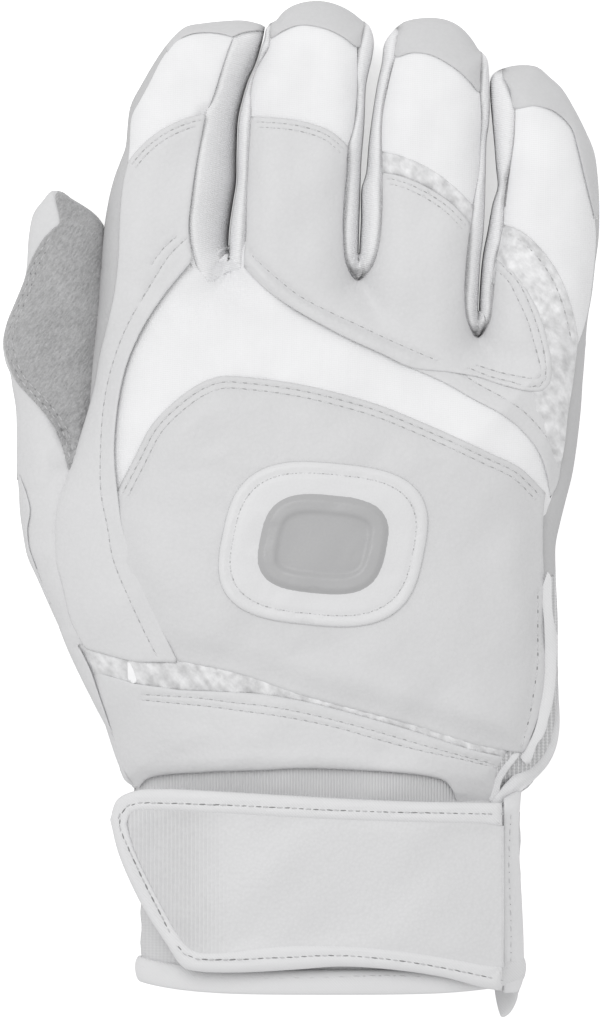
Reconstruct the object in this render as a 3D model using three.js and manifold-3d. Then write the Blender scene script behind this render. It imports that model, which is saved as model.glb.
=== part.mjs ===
// A batting glove for the right hand, filled as if worn and lying palm down.
// Millimetres. X runs from the thumb side to the little finger, Y from the cuff to the fingertips, and Z is
// up out of the back of the hand. The origin is in the middle of the flat palm side.
// The glove is sewn from flat panels, and it is built the same way: a hand-shaped form gives thin layers, and
// each panel is the stretch of a layer inside that panel's pattern outline.

import * as THREE from "three";
import { mergeVertices } from "three/addons/utils/BufferGeometryUtils.js";
import Module from "manifold-3d";

const wasm = await Module();
wasm.setup();

// Overall sizes
const glove_length = 219; // hem of the cuff to the tip of the middle finger
const glove_width = 129; // outside of the thumb to outside of the little finger
const hand_height = 33; // filled thickness behind the knuckles
const finger_height = 26; // filled thickness at the root of a finger
const thumb_height = 25; // filled thickness at the root of the thumb
const flat_depth = 1.4; // how far the round palm side would reach below the surface that it rests on

// Thicknesses of the layers
const shell_wall = 1.2; // leather or knit with its lining
const seam_gap = 0.3; // clearance between neighbouring pieces
const foam_thickness = 2; // foam under the back pad
const cover_thickness = 0.9; // leather over that foam
const patch_thickness = 1; // moulded patch on the pad
const motif_thickness = 0.9; // raised badge on the patch
const gloss_thickness = 0.5; // glossy strips laid on the leather
const binding_rise = 0.9; // how far a bound edge stands above the panel that it edges
const seam_height = 7; // height of the seam between the palm leather and the panels of the back
const thumb_seam_height = 5; // the same on the thumb

// Wrist closure
const cuff_wall = 1.4; // knit cuff
const cuff_top_drop = 3.2; // from the upper edge of the strap down to the upper edge of the cuff
const hem_height = 5.6; // bound lower edge of the cuff
const hem_wall = 0.8; // tape on each side of the hem
const closure_layer = 0.9; // loop patch, and hook patch
const strap_base_thickness = 1.3;
const strap_panel_thickness = 0.8;
const strap_binding_width = 4.7;
const strap_binding_wall = 0.9; // tape above and below the strap's edge
const strap_binding_lap = 3.2; // how far the strap's base runs into its binding
const strap_flare = 5.2; // how much further out than the wrist the strap stands at its free end
const side_band_width = 4.4;
const side_band_thickness = 1.2;
const tab_length = 4.1;
const tab_width = 4.4;
const tab_thickness = 2;
const corner_radius = 1.2;

// Movement
const finger_joint_clearance = 0.4; // between a finger's end and its root
const overrun = 60; // how far a cutting prism runs past what it cuts

// Fineness of the surfaces
const hand_sides = 24;
const finger_sides = 12;
const dome_steps = 3;
const curve_steps = 2; // straight steps between two points of a curved outline

// A place on the glove: shares of its width from the thumb edge, and of its length from the hem.
function place([across_share, along_share]) {
  return new THREE.Vector2((across_share - 0.5) * glove_width, (along_share - 0.5) * glove_length);
}

// Solids

function solid(geometry) {
  const bare = geometry.index ? geometry.toNonIndexed() : geometry.clone();
  bare.deleteAttribute("normal");
  bare.deleteAttribute("uv");
  const merged = mergeVertices(bare);
  return new wasm.Manifold(
    new wasm.Mesh({
      numProp: 3,
      vertProperties: merged.attributes.position.array,
      triVerts: new Uint32Array(merged.index.array),
    }),
  );
}

function geometryOf(manifold) {
  const mesh = manifold.getMesh();
  const geometry = new THREE.BufferGeometry();
  geometry.setAttribute("position", new THREE.Float32BufferAttribute(mesh.vertProperties, 3));
  geometry.setIndex(new THREE.BufferAttribute(new Uint32Array(mesh.triVerts), 1));
  geometry.computeVertexNormals();
  return geometry;
}

// A closed surface through rings of points, each with the same number of points, and a fan over each end.
function loftOf(rings) {
  const sides = rings[0].length;
  const points = rings.flat();
  const first = points.length;
  const sumOf = (ring) => ring.reduce((sum, point) => sum.add(point), new THREE.Vector3());
  const middle = (ring) => sumOf(ring).divideScalar(sides);
  points.push(middle(rings[0]), middle(rings[rings.length - 1]));
  const faces = [];
  for (let side = 0; side < sides; side++) {
    const next = (side + 1) % sides;
    faces.push(first, next, side);
    for (let row = 0; row + 1 < rings.length; row++) {
      const low = row * sides;
      const high = low + sides;
      faces.push(low + side, low + next, high + next, low + side, high + next, high + side);
    }
    const last = (rings.length - 1) * sides;
    faces.push(first + 1, last + side, last + next);
  }
  const geometry = new THREE.BufferGeometry().setFromPoints(points);
  geometry.setIndex(faces);
  return solid(geometry);
}

// A pattern outline: each run is a curve through its points, and neighbouring runs meet at a corner.
function outlineOf(runs) {
  const points = [];
  for (const run of runs) {
    const ends = run.map(place);
    const steps = ends.length > 2 ? (ends.length - 1) * curve_steps : 1;
    const curve = ends.length > 2 ? new THREE.SplineCurve(ends) : new THREE.LineCurve(ends[0], ends[1]);
    points.push(...curve.getPoints(steps));
  }
  const after = (index) => points[(index + 1) % points.length];
  return counterClockwise(points.filter((point, index) => point.distanceTo(after(index)) > seam_gap));
}

function counterClockwise(outline) {
  return THREE.ShapeUtils.area(outline) < 0 ? outline.slice().reverse() : outline;
}

const sharpest_share = 0.5; // keeps the spike at a sharp corner short

// The outline moved outwards by a distance, or inwards by a negative one. A short edge that the move would
// turn round is left out, and the two edges beside it meet at its middle.
function grown(outline, distance) {
  const count = outline.length;
  const edgeOf = (points, index) => points[(index + 1) % count].clone().sub(points[index]);
  const moved = outline.map((point, index) => {
    const into = edgeOf(outline, (index + count - 1) % count).normalize();
    const out = edgeOf(outline, index).normalize();
    const normal = new THREE.Vector2(into.y + out.y, -into.x - out.x).normalize();
    const stretch = Math.max(normal.x * into.y - normal.y * into.x, sharpest_share);
    return point.clone().addScaledVector(normal, distance / stretch);
  });
  const turned = moved.findIndex((point, index) => edgeOf(moved, index).dot(edgeOf(outline, index)) <= 0);
  if (turned < 0) return moved;
  const next = (turned + 1) % count;
  const middle = outline[turned].clone().lerp(outline[next], 0.5);
  const fewer = outline.map((point, index) => (index === turned ? middle : point));
  fewer.splice(next, 1);
  return grown(fewer, distance);
}

// An upright prism over an outline, between two heights.
function prism(outline, low = -overrun, high = overrun) {
  const upright = { depth: high - low, bevelEnabled: false };
  const geometry = new THREE.ExtrudeGeometry(new THREE.Shape(outline), upright);
  geometry.translate(0, 0, low);
  return solid(geometry);
}

function cut(piece, ...tools) {
  return tools.reduce((left, tool) => left.subtract(tool), piece);
}

function joined(...pieces) {
  return pieces.reduce((sum, piece) => sum.add(piece));
}

// The largest of the separate bodies of a cut piece: the slivers that a slanted cut leaves are dropped.
function mainBody(piece) {
  return piece.decompose().reduce((best, body) => (body.volume() > best.volume() ? body : best));
}

// The form of the hand and fingers

// Each row of a form is [along, left edge, right edge, height], as shares of the glove's length, its width
// twice, and the form's height.
const wrist_row_shares = [
  [0.028, 0.235, 0.867, 1.07], [0.136, 0.232, 0.868, 1.06], [0.194, 0.227, 0.868, 1.04],
  [0.229, 0.207, 0.883, 1.03], [0.268, 0.188, 0.915, 1.02],
];
const hand_row_shares = [
  ...wrist_row_shares,
  [0.31, 0.162, 0.93, 1.02], [0.36, 0.127, 0.932, 1.02], [0.417, 0.09, 0.928, 1.02],
  [0.47, 0.083, 0.93, 1.01], [0.521, 0.097, 0.947, 1], [0.588, 0.137, 0.968, 0.97],
  [0.666, 0.157, 0.978, 0.92], [0.715, 0.165, 0.985, 0.86],
];
const hand_end_slant_share = 0.15; // how far the crotches of the fingers fall back toward the little finger
const hand_squareness_share = 2.7; // 2 is an ellipse, and more is squarer
const finger_squareness_share = 2.3;
const dome_squareness_share = 2.7;
const dome_end_share = 0.92; // where the last ring of a dome lies, as a share of its quarter turn

// Points of one ring of a form, in the plane of its row, drawn in by an inset.
function ringOf(row, form, inset) {
  const [along, left, right, height, slant_share] = row;
  const half_width = (right - left) / 2 - inset;
  const half_height = (height + flat_depth) / 2 - inset;
  const centre_x = (left + right) / 2;
  const centre_z = (height - flat_depth) / 2;
  const power = 2 / form.squareness_share;
  const ring = [];
  for (let side = 0; side < form.sides; side++) {
    const angle = (side / form.sides) * Math.PI * 2;
    const x = centre_x + Math.sign(Math.cos(angle)) * Math.abs(Math.cos(angle)) ** power * half_width;
    const z = centre_z + Math.sign(Math.sin(angle)) * Math.abs(Math.sin(angle)) ** power * half_height;
    ring.push(new THREE.Vector3(x, along - slant_share * (x - centre_x), z));
  }
  return ring.reverse();
}

// The rows in millimetres, the last one slanted.
function rowsOf(shares, height, slant_share = 0) {
  return shares.map(([along_share, left_share, right_share, height_share], index) => [
    place([0, along_share]).y,
    place([left_share, 0]).x,
    place([right_share, 0]).x,
    height_share * height,
    index === shares.length - 1 ? slant_share : 0,
  ]);
}

// A finger's rows end in a dome whose crown is at the tip.
function fingerRings(form, inset) {
  const rows = rowsOf(form.row_shares, form.height);
  const [along, left, right, height] = rows[rows.length - 1];
  const rings = rows.map((row) => ringOf(row, form, inset));
  const last_ring = rings[rings.length - 1];
  const tip = place(form.tip_share);
  const middle = new THREE.Vector3((left + right) / 2, along, (height - flat_depth) / 2);
  const crown = new THREE.Vector3(tip.x, tip.y - inset, middle.z);
  for (let step = 0; step < dome_steps; step++) {
    const rise = Math.sin(((step + 1) / dome_steps) * dome_end_share * (Math.PI / 2));
    const narrowing = (1 - rise ** dome_squareness_share) ** (1 / dome_squareness_share);
    const centre = middle.clone().lerp(crown, rise);
    rings.push(last_ring.map((point) => point.clone().sub(middle).multiplyScalar(narrowing).add(centre)));
  }
  return rings;
}

// The space above the flat palm side, drawn in by an inset.
function aboveFloor(inset) {
  const half = glove_length;
  const square = [[-half, -half], [half, -half], [half, half], [-half, half]];
  return prism(square.map(([x, y]) => new THREE.Vector2(x, y)), Math.max(inset, 0), overrun);
}

const hand_form = {
  row_shares: hand_row_shares,
  height: hand_height,
  sides: hand_sides,
  squareness_share: hand_squareness_share,
  slant_share: hand_end_slant_share,
};

// The hand without fingers, as a solid drawn in by an inset, or grown by a negative one.
function handSolid(inset) {
  const rows = rowsOf(hand_form.row_shares, hand_form.height, hand_form.slant_share);
  rows[rows.length - 1][0] -= inset;
  rows[0][0] -= inset > 0 ? overrun : 0;
  return loftOf(rows.map((row) => ringOf(row, hand_form, inset))).intersect(aboveFloor(inset));
}

const fingers = {
  index: {
    row_shares: [
      [0.607, 0.173, 0.373, 0.9], [0.743, 0.17, 0.375, 1], [0.804, 0.182, 0.383, 0.95],
      [0.856, 0.207, 0.392, 0.88], [0.902, 0.223, 0.398, 0.8], [0.941, 0.26, 0.407, 0.73],
    ],
    tip_share: [0.373, 0.981],
    bend_share: [[0.187, 0.876], [0.373, 0.852]],
    cap_shares: [[0.215, 0.945], [0.31, 0.966], [0.347, 0.969], [0.39, 0.963], [0.46, 0.958]],
    outer_seam_shares: [[0.228, 0.842], [0.24, 0.892], [0.272, 0.932], [0.303, 0.958]],
    inner_seam_shares: [[0.387, 0.96], [0.368, 0.925], [0.353, 0.904], [0.343, 0.887], [0.335, 0.85]],
    outer_wall: false,
    inner_wall: true,
  },
  middle: {
    row_shares: [
      [0.607, 0.38, 0.595, 0.95], [0.743, 0.383, 0.595, 1.06], [0.814, 0.397, 0.598, 1.02],
      [0.872, 0.405, 0.605, 0.93], [0.915, 0.412, 0.61, 0.84], [0.956, 0.428, 0.622, 0.75],
    ],
    tip_share: [0.53, 1],
    bend_share: [[0.412, 0.883], [0.598, 0.871]],
    cap_shares: [[0.4, 0.957], [0.452, 0.963], [0.5, 0.974], [0.543, 0.971], [0.595, 0.953], [0.66, 0.94]],
    outer_seam_shares: [[0.418, 0.86], [0.418, 0.909], [0.452, 0.963]],
    inner_seam_shares: [[0.595, 0.952], [0.595, 0.911], [0.588, 0.872], [0.583, 0.85]],
    outer_wall: true,
    inner_wall: true,
  },
  ring: {
    row_shares: [
      [0.607, 0.602, 0.8, 0.9], [0.743, 0.602, 0.8, 1], [0.812, 0.605, 0.815, 0.95],
      [0.861, 0.617, 0.815, 0.88], [0.902, 0.628, 0.812, 0.8], [0.941, 0.642, 0.803, 0.73],
    ],
    tip_share: [0.717, 0.986],
    bend_share: [[0.62, 0.827], [0.81, 0.823]],
    cap_shares: [[0.61, 0.943], [0.658, 0.943], [0.7, 0.944], [0.757, 0.932], [0.8, 0.908], [0.84, 0.895]],
    outer_seam_shares: [[0.638, 0.8], [0.637, 0.88], [0.65, 0.92], [0.658, 0.943]],
    inner_seam_shares: [[0.8, 0.908], [0.802, 0.883], [0.8, 0.856], [0.795, 0.8]],
    outer_wall: true,
    inner_wall: true,
  },
  little: {
    row_shares: [
      [0.607, 0.808, 0.98, 0.85], [0.705, 0.808, 0.987, 0.9], [0.75, 0.808, 0.995, 0.87],
      [0.787, 0.818, 0.998, 0.83], [0.819, 0.83, 0.997, 0.78], [0.853, 0.828, 0.988, 0.72],
      [0.892, 0.82, 0.962, 0.66],
    ],
    tip_share: [0.887, 0.939],
    bend_share: [[0.81, 0.76], [0.995, 0.768]],
    cap_shares: [[0.79, 0.899], [0.858, 0.894], [0.89, 0.895], [0.94, 0.883], [0.962, 0.858], [1.04, 0.84]],
    outer_seam_shares: [[0.838, 0.74], [0.845, 0.814], [0.853, 0.851], [0.858, 0.894]],
    inner_seam_shares: [[0.958, 0.87], [0.967, 0.84], [0.983, 0.79], [0.983, 0.74]],
    outer_wall: true,
    inner_wall: false,
  },
};
for (const finger of Object.values(fingers)) {
  finger.height = finger_height;
  finger.sides = finger_sides;
  finger.squareness_share = finger_squareness_share;
}

const thumb = {
  row_shares: [
    [0.371, 0.117, 0.25, 0.7], [0.45, 0.063, 0.213, 0.75], [0.509, 0.037, 0.19, 0.8],
    [0.539, 0.027, 0.18, 0.8], [0.587, 0.022, 0.17, 0.78], [0.635, 0.012, 0.16, 0.76],
    [0.663, 0.003, 0.153, 0.74], [0.705, 0.018, 0.16, 0.7], [0.74, 0.04, 0.167, 0.66],
    [0.764, 0.053, 0.168, 0.62],
  ],
  tip_share: [0.093, 0.814],
  height: thumb_height,
  sides: finger_sides,
  squareness_share: finger_squareness_share,
};

function fingerSolid(form, inset) {
  return loftOf(fingerRings(form, inset)).intersect(aboveFloor(inset));
}

// A thin layer of the hand's form between two insets.
function handLayer(outer, inner) {
  return cut(handSolid(outer), handSolid(inner));
}

const finger_list = Object.values(fingers);
const inner_form = joined(
  handSolid(shell_wall),
  ...finger_list.map((finger) => fingerSolid(finger, shell_wall)),
  fingerSolid(thumb, shell_wall),
);
const outer_form = joined(
  handSolid(0),
  ...finger_list.map((finger) => fingerSolid(finger, 0)),
  fingerSolid(thumb, 0),
);

// The half plane beyond a line across a finger, as a wide outline.
function beyond(line, distance) {
  const [start, end] = line.map(place);
  const along = end.clone().sub(start).normalize();
  const out = new THREE.Vector2(-along.y, along.x);
  const near_start = start.clone().addScaledVector(along, -overrun / 2).addScaledVector(out, distance);
  const near_end = end.clone().addScaledVector(along, overrun / 2).addScaledVector(out, distance);
  return [
    near_start,
    near_end,
    near_end.clone().addScaledVector(out, overrun * 2),
    near_start.clone().addScaledVector(out, overrun * 2),
  ];
}

// The thumb turns about an upright line at its outer edge, and its root is cut from there to the crotch.
const thumb_cut_share = [[0.024, 0.556], [0.122, 0.543]];
const half_joint = finger_joint_clearance / 2;

const finger_zone = (finger) =>
  fingerSolid(finger, -seam_gap).intersect(prism(beyond(finger.bend_share, -half_joint)));
const thumb_zone = fingerSolid(thumb, -seam_gap).intersect(prism(beyond(thumb_cut_share, -half_joint)));

// The thumb stands clear of the index finger and the side of the hand.
const hand_block = joined(handSolid(-seam_gap), fingerSolid(fingers.index, -seam_gap));
const root_shell = cut(outer_form, inner_form, thumb_zone, ...finger_list.map(finger_zone));

// The pieces, by the body that carries them
const hand = {};
const strap = {};
const thumb_end = {};
const finger_ends = {};

// The cuff's upper edge, the strap and the closure at the wrist

const strap_corner_shares = [
  [0.2, 0.198], [0.238, 0.113], [0.285, 0.068], [0.332, 0.049], [0.567, 0.054], [0.738, 0.043],
  [0.833, 0.031], [0.833, 0.213], [0.567, 0.218], [0.35, 0.224], [0.214, 0.222],
];
const strap_outline = strap_corner_shares.map(place);
const cuff_top = place([0, 0.217]).y - cuff_top_drop;
const cuff_bottom = place([0, 0.025]).y;

// A slab across the whole glove between two places along it.
function slab(low, high) {
  const reach = glove_width;
  return prism([
    new THREE.Vector2(-reach, low),
    new THREE.Vector2(reach, low),
    new THREE.Vector2(reach, high),
    new THREE.Vector2(-reach, high),
  ]);
}

// The wrist's form, which runs on past the hem so that the layers on it can be cut to length.
function wristSolid(inset) {
  const rows = rowsOf(wrist_row_shares, hand_height);
  rows[0][0] -= overrun;
  return loftOf(rows.map((row) => ringOf(row, hand_form, inset))).intersect(aboveFloor(inset));
}

function wristLayer(outer, inner) {
  return cut(wristSolid(outer), wristSolid(inner));
}

const hem_end = cuff_bottom - hem_wall - seam_gap;
hand.cuff_band = wristLayer(0, cuff_wall).intersect(slab(cuff_bottom, cuff_top));
const hem_layer = wristLayer(-hem_wall - seam_gap, cuff_wall + hem_wall + seam_gap);
hand.cuff_hem = cut(
  hem_layer.intersect(slab(hem_end, hem_end + hem_height)),
  wristLayer(-seam_gap, cuff_wall + seam_gap).intersect(slab(cuff_bottom - seam_gap, cuff_top)),
);

// The strap follows a flatter and wider arc than the wrist, so that its free end stands proud.
function strapSolid(inset) {
  const [, [, left, right, height]] = rowsOf(wrist_row_shares, hand_height);
  const wide_left = left - strap_flare - side_band_width;
  const wide_row = (along) => [along, wide_left, right + strap_flare / 2, height, 0];
  return loftOf(
    [-glove_length, 0].map((along) => ringOf(wide_row(along), hand_form, inset)),
  );
}

function strapLayer(outer, inner) {
  const above = prism(strap_outline, hand_height / 3, overrun);
  return cut(strapSolid(outer), strapSolid(inner)).intersect(above);
}

const loop_top = -seam_gap - closure_layer;
const hook_top = loop_top - seam_gap - closure_layer;
const base_low = hook_top - seam_gap;
const base_top = base_low - strap_base_thickness;
const binding_low = base_low + seam_gap + strap_binding_wall;
const binding_top = base_top - seam_gap - strap_binding_wall;
const binding_inside = grown(strap_outline, -strap_binding_width);
const base_outline = grown(strap_outline, strap_binding_lap - strap_binding_width);
const panel_outline = grown(binding_inside, -seam_gap);
const closure_shares = [[0.3, 0.188], [0.8, 0.188], [0.8, 0.085], [0.3, 0.085]];
const hook_shares = [[0.29, 0.186], [0.48, 0.184], [0.48, 0.085], [0.32, 0.085]];

const loop_outline = counterClockwise(closure_shares.map(place));
const hook_outline = counterClockwise(hook_shares.map(place));
hand.loop_patch = wristLayer(loop_top, -seam_gap).intersect(prism(loop_outline, hand_height / 2));
strap.strap_hook_patch = strapLayer(hook_top, loop_top - seam_gap).intersect(prism(hook_outline));
strap.strap_base = strapLayer(base_top, base_low).intersect(prism(base_outline));
strap.strap_binding = cut(
  strapLayer(binding_top, binding_low),
  prism(binding_inside),
  strapLayer(base_top - seam_gap, base_low + seam_gap).intersect(prism(grown(base_outline, seam_gap))),
);
const panel_low = base_top - seam_gap;
strap.strap_panel = strapLayer(panel_low - strap_panel_thickness, panel_low).intersect(prism(panel_outline));

// The band that the strap is sewn to, and the pull tab under it

const strap_end = place([0.833, 0]).x;
const band_top = place([0, 0.207]).y;
const side_band_outline = [
  new THREE.Vector2(strap_end + seam_gap, hem_end),
  new THREE.Vector2(glove_width, hem_end),
  new THREE.Vector2(glove_width, band_top),
  new THREE.Vector2(strap_end + seam_gap, band_top),
];
const hem_clearance = slab(hem_end - seam_gap, hem_end + hem_height + seam_gap);
hand.side_band = cut(
  wristLayer(-seam_gap - side_band_thickness, -seam_gap).intersect(prism(side_band_outline, seam_height)),
  wristLayer(-hem_wall - seam_gap * 2, 0).intersect(hem_clearance),
);
const tab_place = place([0.84, 0]);
const tab_shape = new THREE.Shape();
tab_shape.moveTo(-tab_width / 2, 0);
tab_shape.lineTo(tab_width / 2, 0);
tab_shape.lineTo(tab_width / 2, corner_radius - tab_length);
tab_shape.quadraticCurveTo(tab_width / 2, -tab_length, tab_width / 2 - corner_radius, -tab_length);
tab_shape.lineTo(corner_radius - tab_width / 2, -tab_length);
tab_shape.quadraticCurveTo(-tab_width / 2, -tab_length, -tab_width / 2, corner_radius - tab_length);
const tab_geometry = new THREE.ExtrudeGeometry(tab_shape, {
  depth: tab_thickness,
  bevelEnabled: false,
  curveSegments: curve_steps,
});
hand.pull_tab = solid(tab_geometry);

// Panels of the back, the uppermost first: each one is cut clear of those above it

const pad_runs_shares = [
  [[0.198, 0.518], [0.223, 0.548], [0.288, 0.603], [0.368, 0.63], [0.5, 0.622], [0.645, 0.597],
    [0.788, 0.563], [0.905, 0.52]],
  [[0.905, 0.52], [0.905, 0.446], [0.885, 0.344], [0.85, 0.266]],
  [[0.85, 0.266], [0.68, 0.294], [0.5, 0.322], [0.293, 0.356]],
  [[0.293, 0.356], [0.26, 0.392], [0.232, 0.445], [0.198, 0.518]],
];
const patch_runs_shares = [
  [[0.393, 0.509], [0.4, 0.538], [0.437, 0.551]],
  [[0.437, 0.551], [0.575, 0.553], [0.683, 0.528], [0.723, 0.479], [0.717, 0.42], [0.667, 0.385],
    [0.583, 0.379]],
  [[0.583, 0.379], [0.4, 0.401], [0.357, 0.422], [0.353, 0.45], [0.393, 0.509]],
];
const motif_shares = [
  [0.44, 0.51], [0.47, 0.535], [0.58, 0.535], [0.655, 0.51], [0.675, 0.47], [0.66, 0.425], [0.6, 0.4],
  [0.46, 0.425],
];
const side_panel_runs_shares = [
  [[0.343, 0.91], [0.215, 0.9]],
  [[0.215, 0.9], [0.207, 0.808], [0.188, 0.701], [0.155, 0.618], [0.117, 0.541], [0.087, 0.481],
    [0.102, 0.423], [0.133, 0.368]],
  [[0.133, 0.368], [0.217, 0.36], [0.293, 0.352]],
  [[0.293, 0.352], [0.4, 0.45], [0.26, 0.52], [0.197, 0.53]],
  [[0.197, 0.53], [0.197, 0.599], [0.235, 0.673], [0.322, 0.744]],
  [[0.322, 0.744], [0.36, 0.75], [0.36, 0.82], [0.343, 0.91]],
];
const flex_runs_shares = [
  [[0.322, 0.744], [0.235, 0.673], [0.197, 0.599], [0.197, 0.5]],
  [[0.197, 0.5], [0.5, 0.55], [0.92, 0.47]],
  [[0.92, 0.47], [0.92, 0.6], [0.5, 0.72], [0.408, 0.76], [0.322, 0.744]],
];
const knuckle_runs_shares = [
  [[0.36, 0.91], [0.39, 0.82], [0.408, 0.753], [0.5, 0.689], [0.645, 0.648], [0.788, 0.606],
    [0.883, 0.565], [0.913, 0.511]],
  [[0.913, 0.511], [0.935, 0.548], [0.948, 0.625], [0.972, 0.683], [0.985, 0.76], [0.985, 0.82]],
  [[0.985, 0.82], [0.36, 0.91]],
];
const fourchette_shares = {
  index_middle: [
    [[0.343, 0.905], [0.327, 0.834], [0.318, 0.798], [0.325, 0.743], [0.348, 0.723], [0.383, 0.73],
      [0.405, 0.741], [0.412, 0.808], [0.418, 0.905]],
    [[0.418, 0.905], [0.343, 0.905]],
  ],
  middle_ring: [
    [[0.59, 0.905], [0.588, 0.872], [0.573, 0.808], [0.572, 0.766], [0.595, 0.724], [0.618, 0.736],
      [0.632, 0.759], [0.638, 0.847], [0.64, 0.905]],
    [[0.64, 0.905], [0.59, 0.905]],
  ],
  ring_little: [
    [[0.802, 0.86], [0.795, 0.82], [0.782, 0.78], [0.773, 0.712], [0.795, 0.668], [0.815, 0.683],
      [0.825, 0.736], [0.84, 0.79], [0.845, 0.86]],
    [[0.845, 0.86], [0.802, 0.86]],
  ],
};
const ring_gloss_shares = [
  [0.637, 0.86], [0.637, 0.842], [0.7, 0.824], [0.79, 0.78], [0.802, 0.8], [0.802, 0.86],
];
const little_gloss_shares = [
  [0.838, 0.79], [0.84, 0.765], [0.88, 0.745], [0.92, 0.715], [0.945, 0.66], [0.93, 0.56], [0.918, 0.53],
  [0.945, 0.53], [0.963, 0.62], [0.985, 0.7], [0.985, 0.79],
];
const wrist_gloss_runs_shares = [
  [[0.133, 0.372], [0.253, 0.356], [0.397, 0.341], [0.68, 0.29], [0.85, 0.264]],
  [[0.85, 0.264], [0.85, 0.256]],
  [[0.85, 0.256], [0.667, 0.277], [0.5, 0.302], [0.347, 0.321], [0.223, 0.33], [0.15, 0.342]],
  [[0.15, 0.342], [0.133, 0.372]],
];
const gauntlet_runs_shares = [
  [[0.05, 0.37], [0.133, 0.372], [0.4, 0.35], [0.9, 0.28]],
  [[0.9, 0.28], [0.9, 0.236]],
  [[0.9, 0.236], [0.68, 0.239], [0.5, 0.246], [0.272, 0.238], [0.15, 0.232]],
  [[0.15, 0.232], [0.05, 0.37]],
];
const rib_shares = [[0.1, 0.25], [0.9, 0.25], [0.9, 0.208], [0.1, 0.208]];
const thumb_base_runs_shares = [
  [[-0.03, 0.6], [0.1, 0.6], [0.117, 0.541], [0.087, 0.481], [0.102, 0.423], [0.133, 0.368]],
  [[0.133, 0.368], [0.06, 0.352]],
  [[0.06, 0.352], [-0.03, 0.42]],
  [[-0.03, 0.42], [-0.03, 0.6]],
];
const front_tape_runs_shares = [
  [[0.912, 0.439], [0.898, 0.43], [0.905, 0.386], [0.903, 0.344], [0.89, 0.297], [0.865, 0.258]],
  [[0.865, 0.258], [0.883, 0.248]],
  [[0.883, 0.248], [0.908, 0.284], [0.92, 0.322], [0.928, 0.371], [0.93, 0.411], [0.912, 0.439]],
];
const rear_tape_runs_shares = [
  [[0.928, 0.348], [0.99, 0.348]],
  [[0.99, 0.348], [0.99, 0.262], [0.915, 0.234], [0.862, 0.221], [0.83, 0.218]],
  [[0.83, 0.218], [0.83, 0.23]],
  [[0.83, 0.23], [0.862, 0.242], [0.905, 0.266], [0.923, 0.295], [0.928, 0.348]],
];
const gusset_shares = [[0.89, 0.435], [0.99, 0.435], [0.99, 0.29], [0.89, 0.29]];

const pad_outline = outlineOf(pad_runs_shares);
const fourchette_outlines = Object.values(fourchette_shares).map(outlineOf);
const ring_gloss_outline = ring_gloss_shares.map(place);
const little_gloss_outline = little_gloss_shares.map(place);
const front_tape_outline = outlineOf(front_tape_runs_shares);
const rear_tape_outline = outlineOf(rear_tape_runs_shares);

// The part of the sewn shell inside an outline, above the seam with the palm, clear of the pieces over it.
const taken = [];
function panel(outline, low = seam_height) {
  const turned = counterClockwise(outline);
  const piece = cut(root_shell.intersect(prism(turned, low)), ...taken);
  taken.push(prism(grown(turned, seam_gap), low - seam_gap));
  return mainBody(piece);
}

// A strip that stands above the shell by a rise and goes through it.
function raisedStrip(outline, rise) {
  const turned = counterClockwise(outline);
  const layer = cut(handLayer(-rise, shell_wall), ...taken).intersect(prism(turned, seam_height));
  taken.push(prism(grown(turned, seam_gap), seam_height - seam_gap));
  return mainBody(layer);
}

hand.slit_front_binding = raisedStrip(front_tape_outline, binding_rise);
hand.slit_rear_binding = raisedStrip(rear_tape_outline, binding_rise);
hand.slit_gusset = handLayer(shell_wall + seam_gap, shell_wall * 2 + seam_gap).intersect(
  prism(counterClockwise(gusset_shares.map(place)), seam_height),
);

const foam_inset = cover_thickness + seam_gap;
const pad_rise = foam_thickness + foam_inset - shell_wall;
const foam_outline = grown(pad_outline, -foam_inset);
hand.back_pad_cover = mainBody(
  cut(
    handLayer(-pad_rise, shell_wall).intersect(prism(pad_outline, seam_height)),
    handLayer(cover_thickness - pad_rise, shell_wall * 2).intersect(prism(foam_outline, 0)),
    ...taken,
  ),
);
const foam_prism = prism(grown(foam_outline, -seam_gap), hand_height / 2);
hand.back_pad_foam = mainBody(
  cut(handLayer(foam_inset - pad_rise, shell_wall).intersect(foam_prism), ...taken),
);
taken.push(prism(grown(pad_outline, seam_gap), seam_height - seam_gap));

const patch_outline = outlineOf(patch_runs_shares);
const motif_outline = motif_shares.map(place);
const patch_low = -pad_rise - seam_gap;
const patch_top = patch_low - patch_thickness;
hand.raised_patch = handLayer(patch_top, patch_low).intersect(prism(patch_outline, hand_height / 2));
hand.patch_motif = handLayer(patch_top - seam_gap - motif_thickness, patch_top - seam_gap).intersect(
  prism(counterClockwise(motif_outline), hand_height / 2),
);

hand.wrist_gloss_strip = raisedStrip(outlineOf(wrist_gloss_runs_shares), gloss_thickness);
const fourchette_names = Object.keys(fourchette_shares);
fourchette_outlines.forEach((outline, index) => {
  hand["fourchette_" + fourchette_names[index]] = panel(outline);
});
hand.ring_gloss_band = panel(ring_gloss_outline, hand_height / 4);
hand.little_gloss_band = panel(little_gloss_outline, hand_height / 4);
hand.index_side_panel = panel(outlineOf(side_panel_runs_shares));
hand.knuckle_panel = panel(outlineOf(knuckle_runs_shares));
hand.flex_panel = panel(outlineOf(flex_runs_shares));
hand.wrist_rib_band = cut(panel(rib_shares.map(place)), slab(-glove_length, cuff_top + seam_gap));
hand.gauntlet_panel = panel(outlineOf(gauntlet_runs_shares));
hand.thumb_base_panel = panel(outlineOf(thumb_base_runs_shares), thumb_seam_height);
hand.palm_leather = mainBody(cut(root_shell, ...taken, slab(-glove_length, cuff_top + seam_gap)));

// The ends of the fingers, which bend, and the thumb

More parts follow.
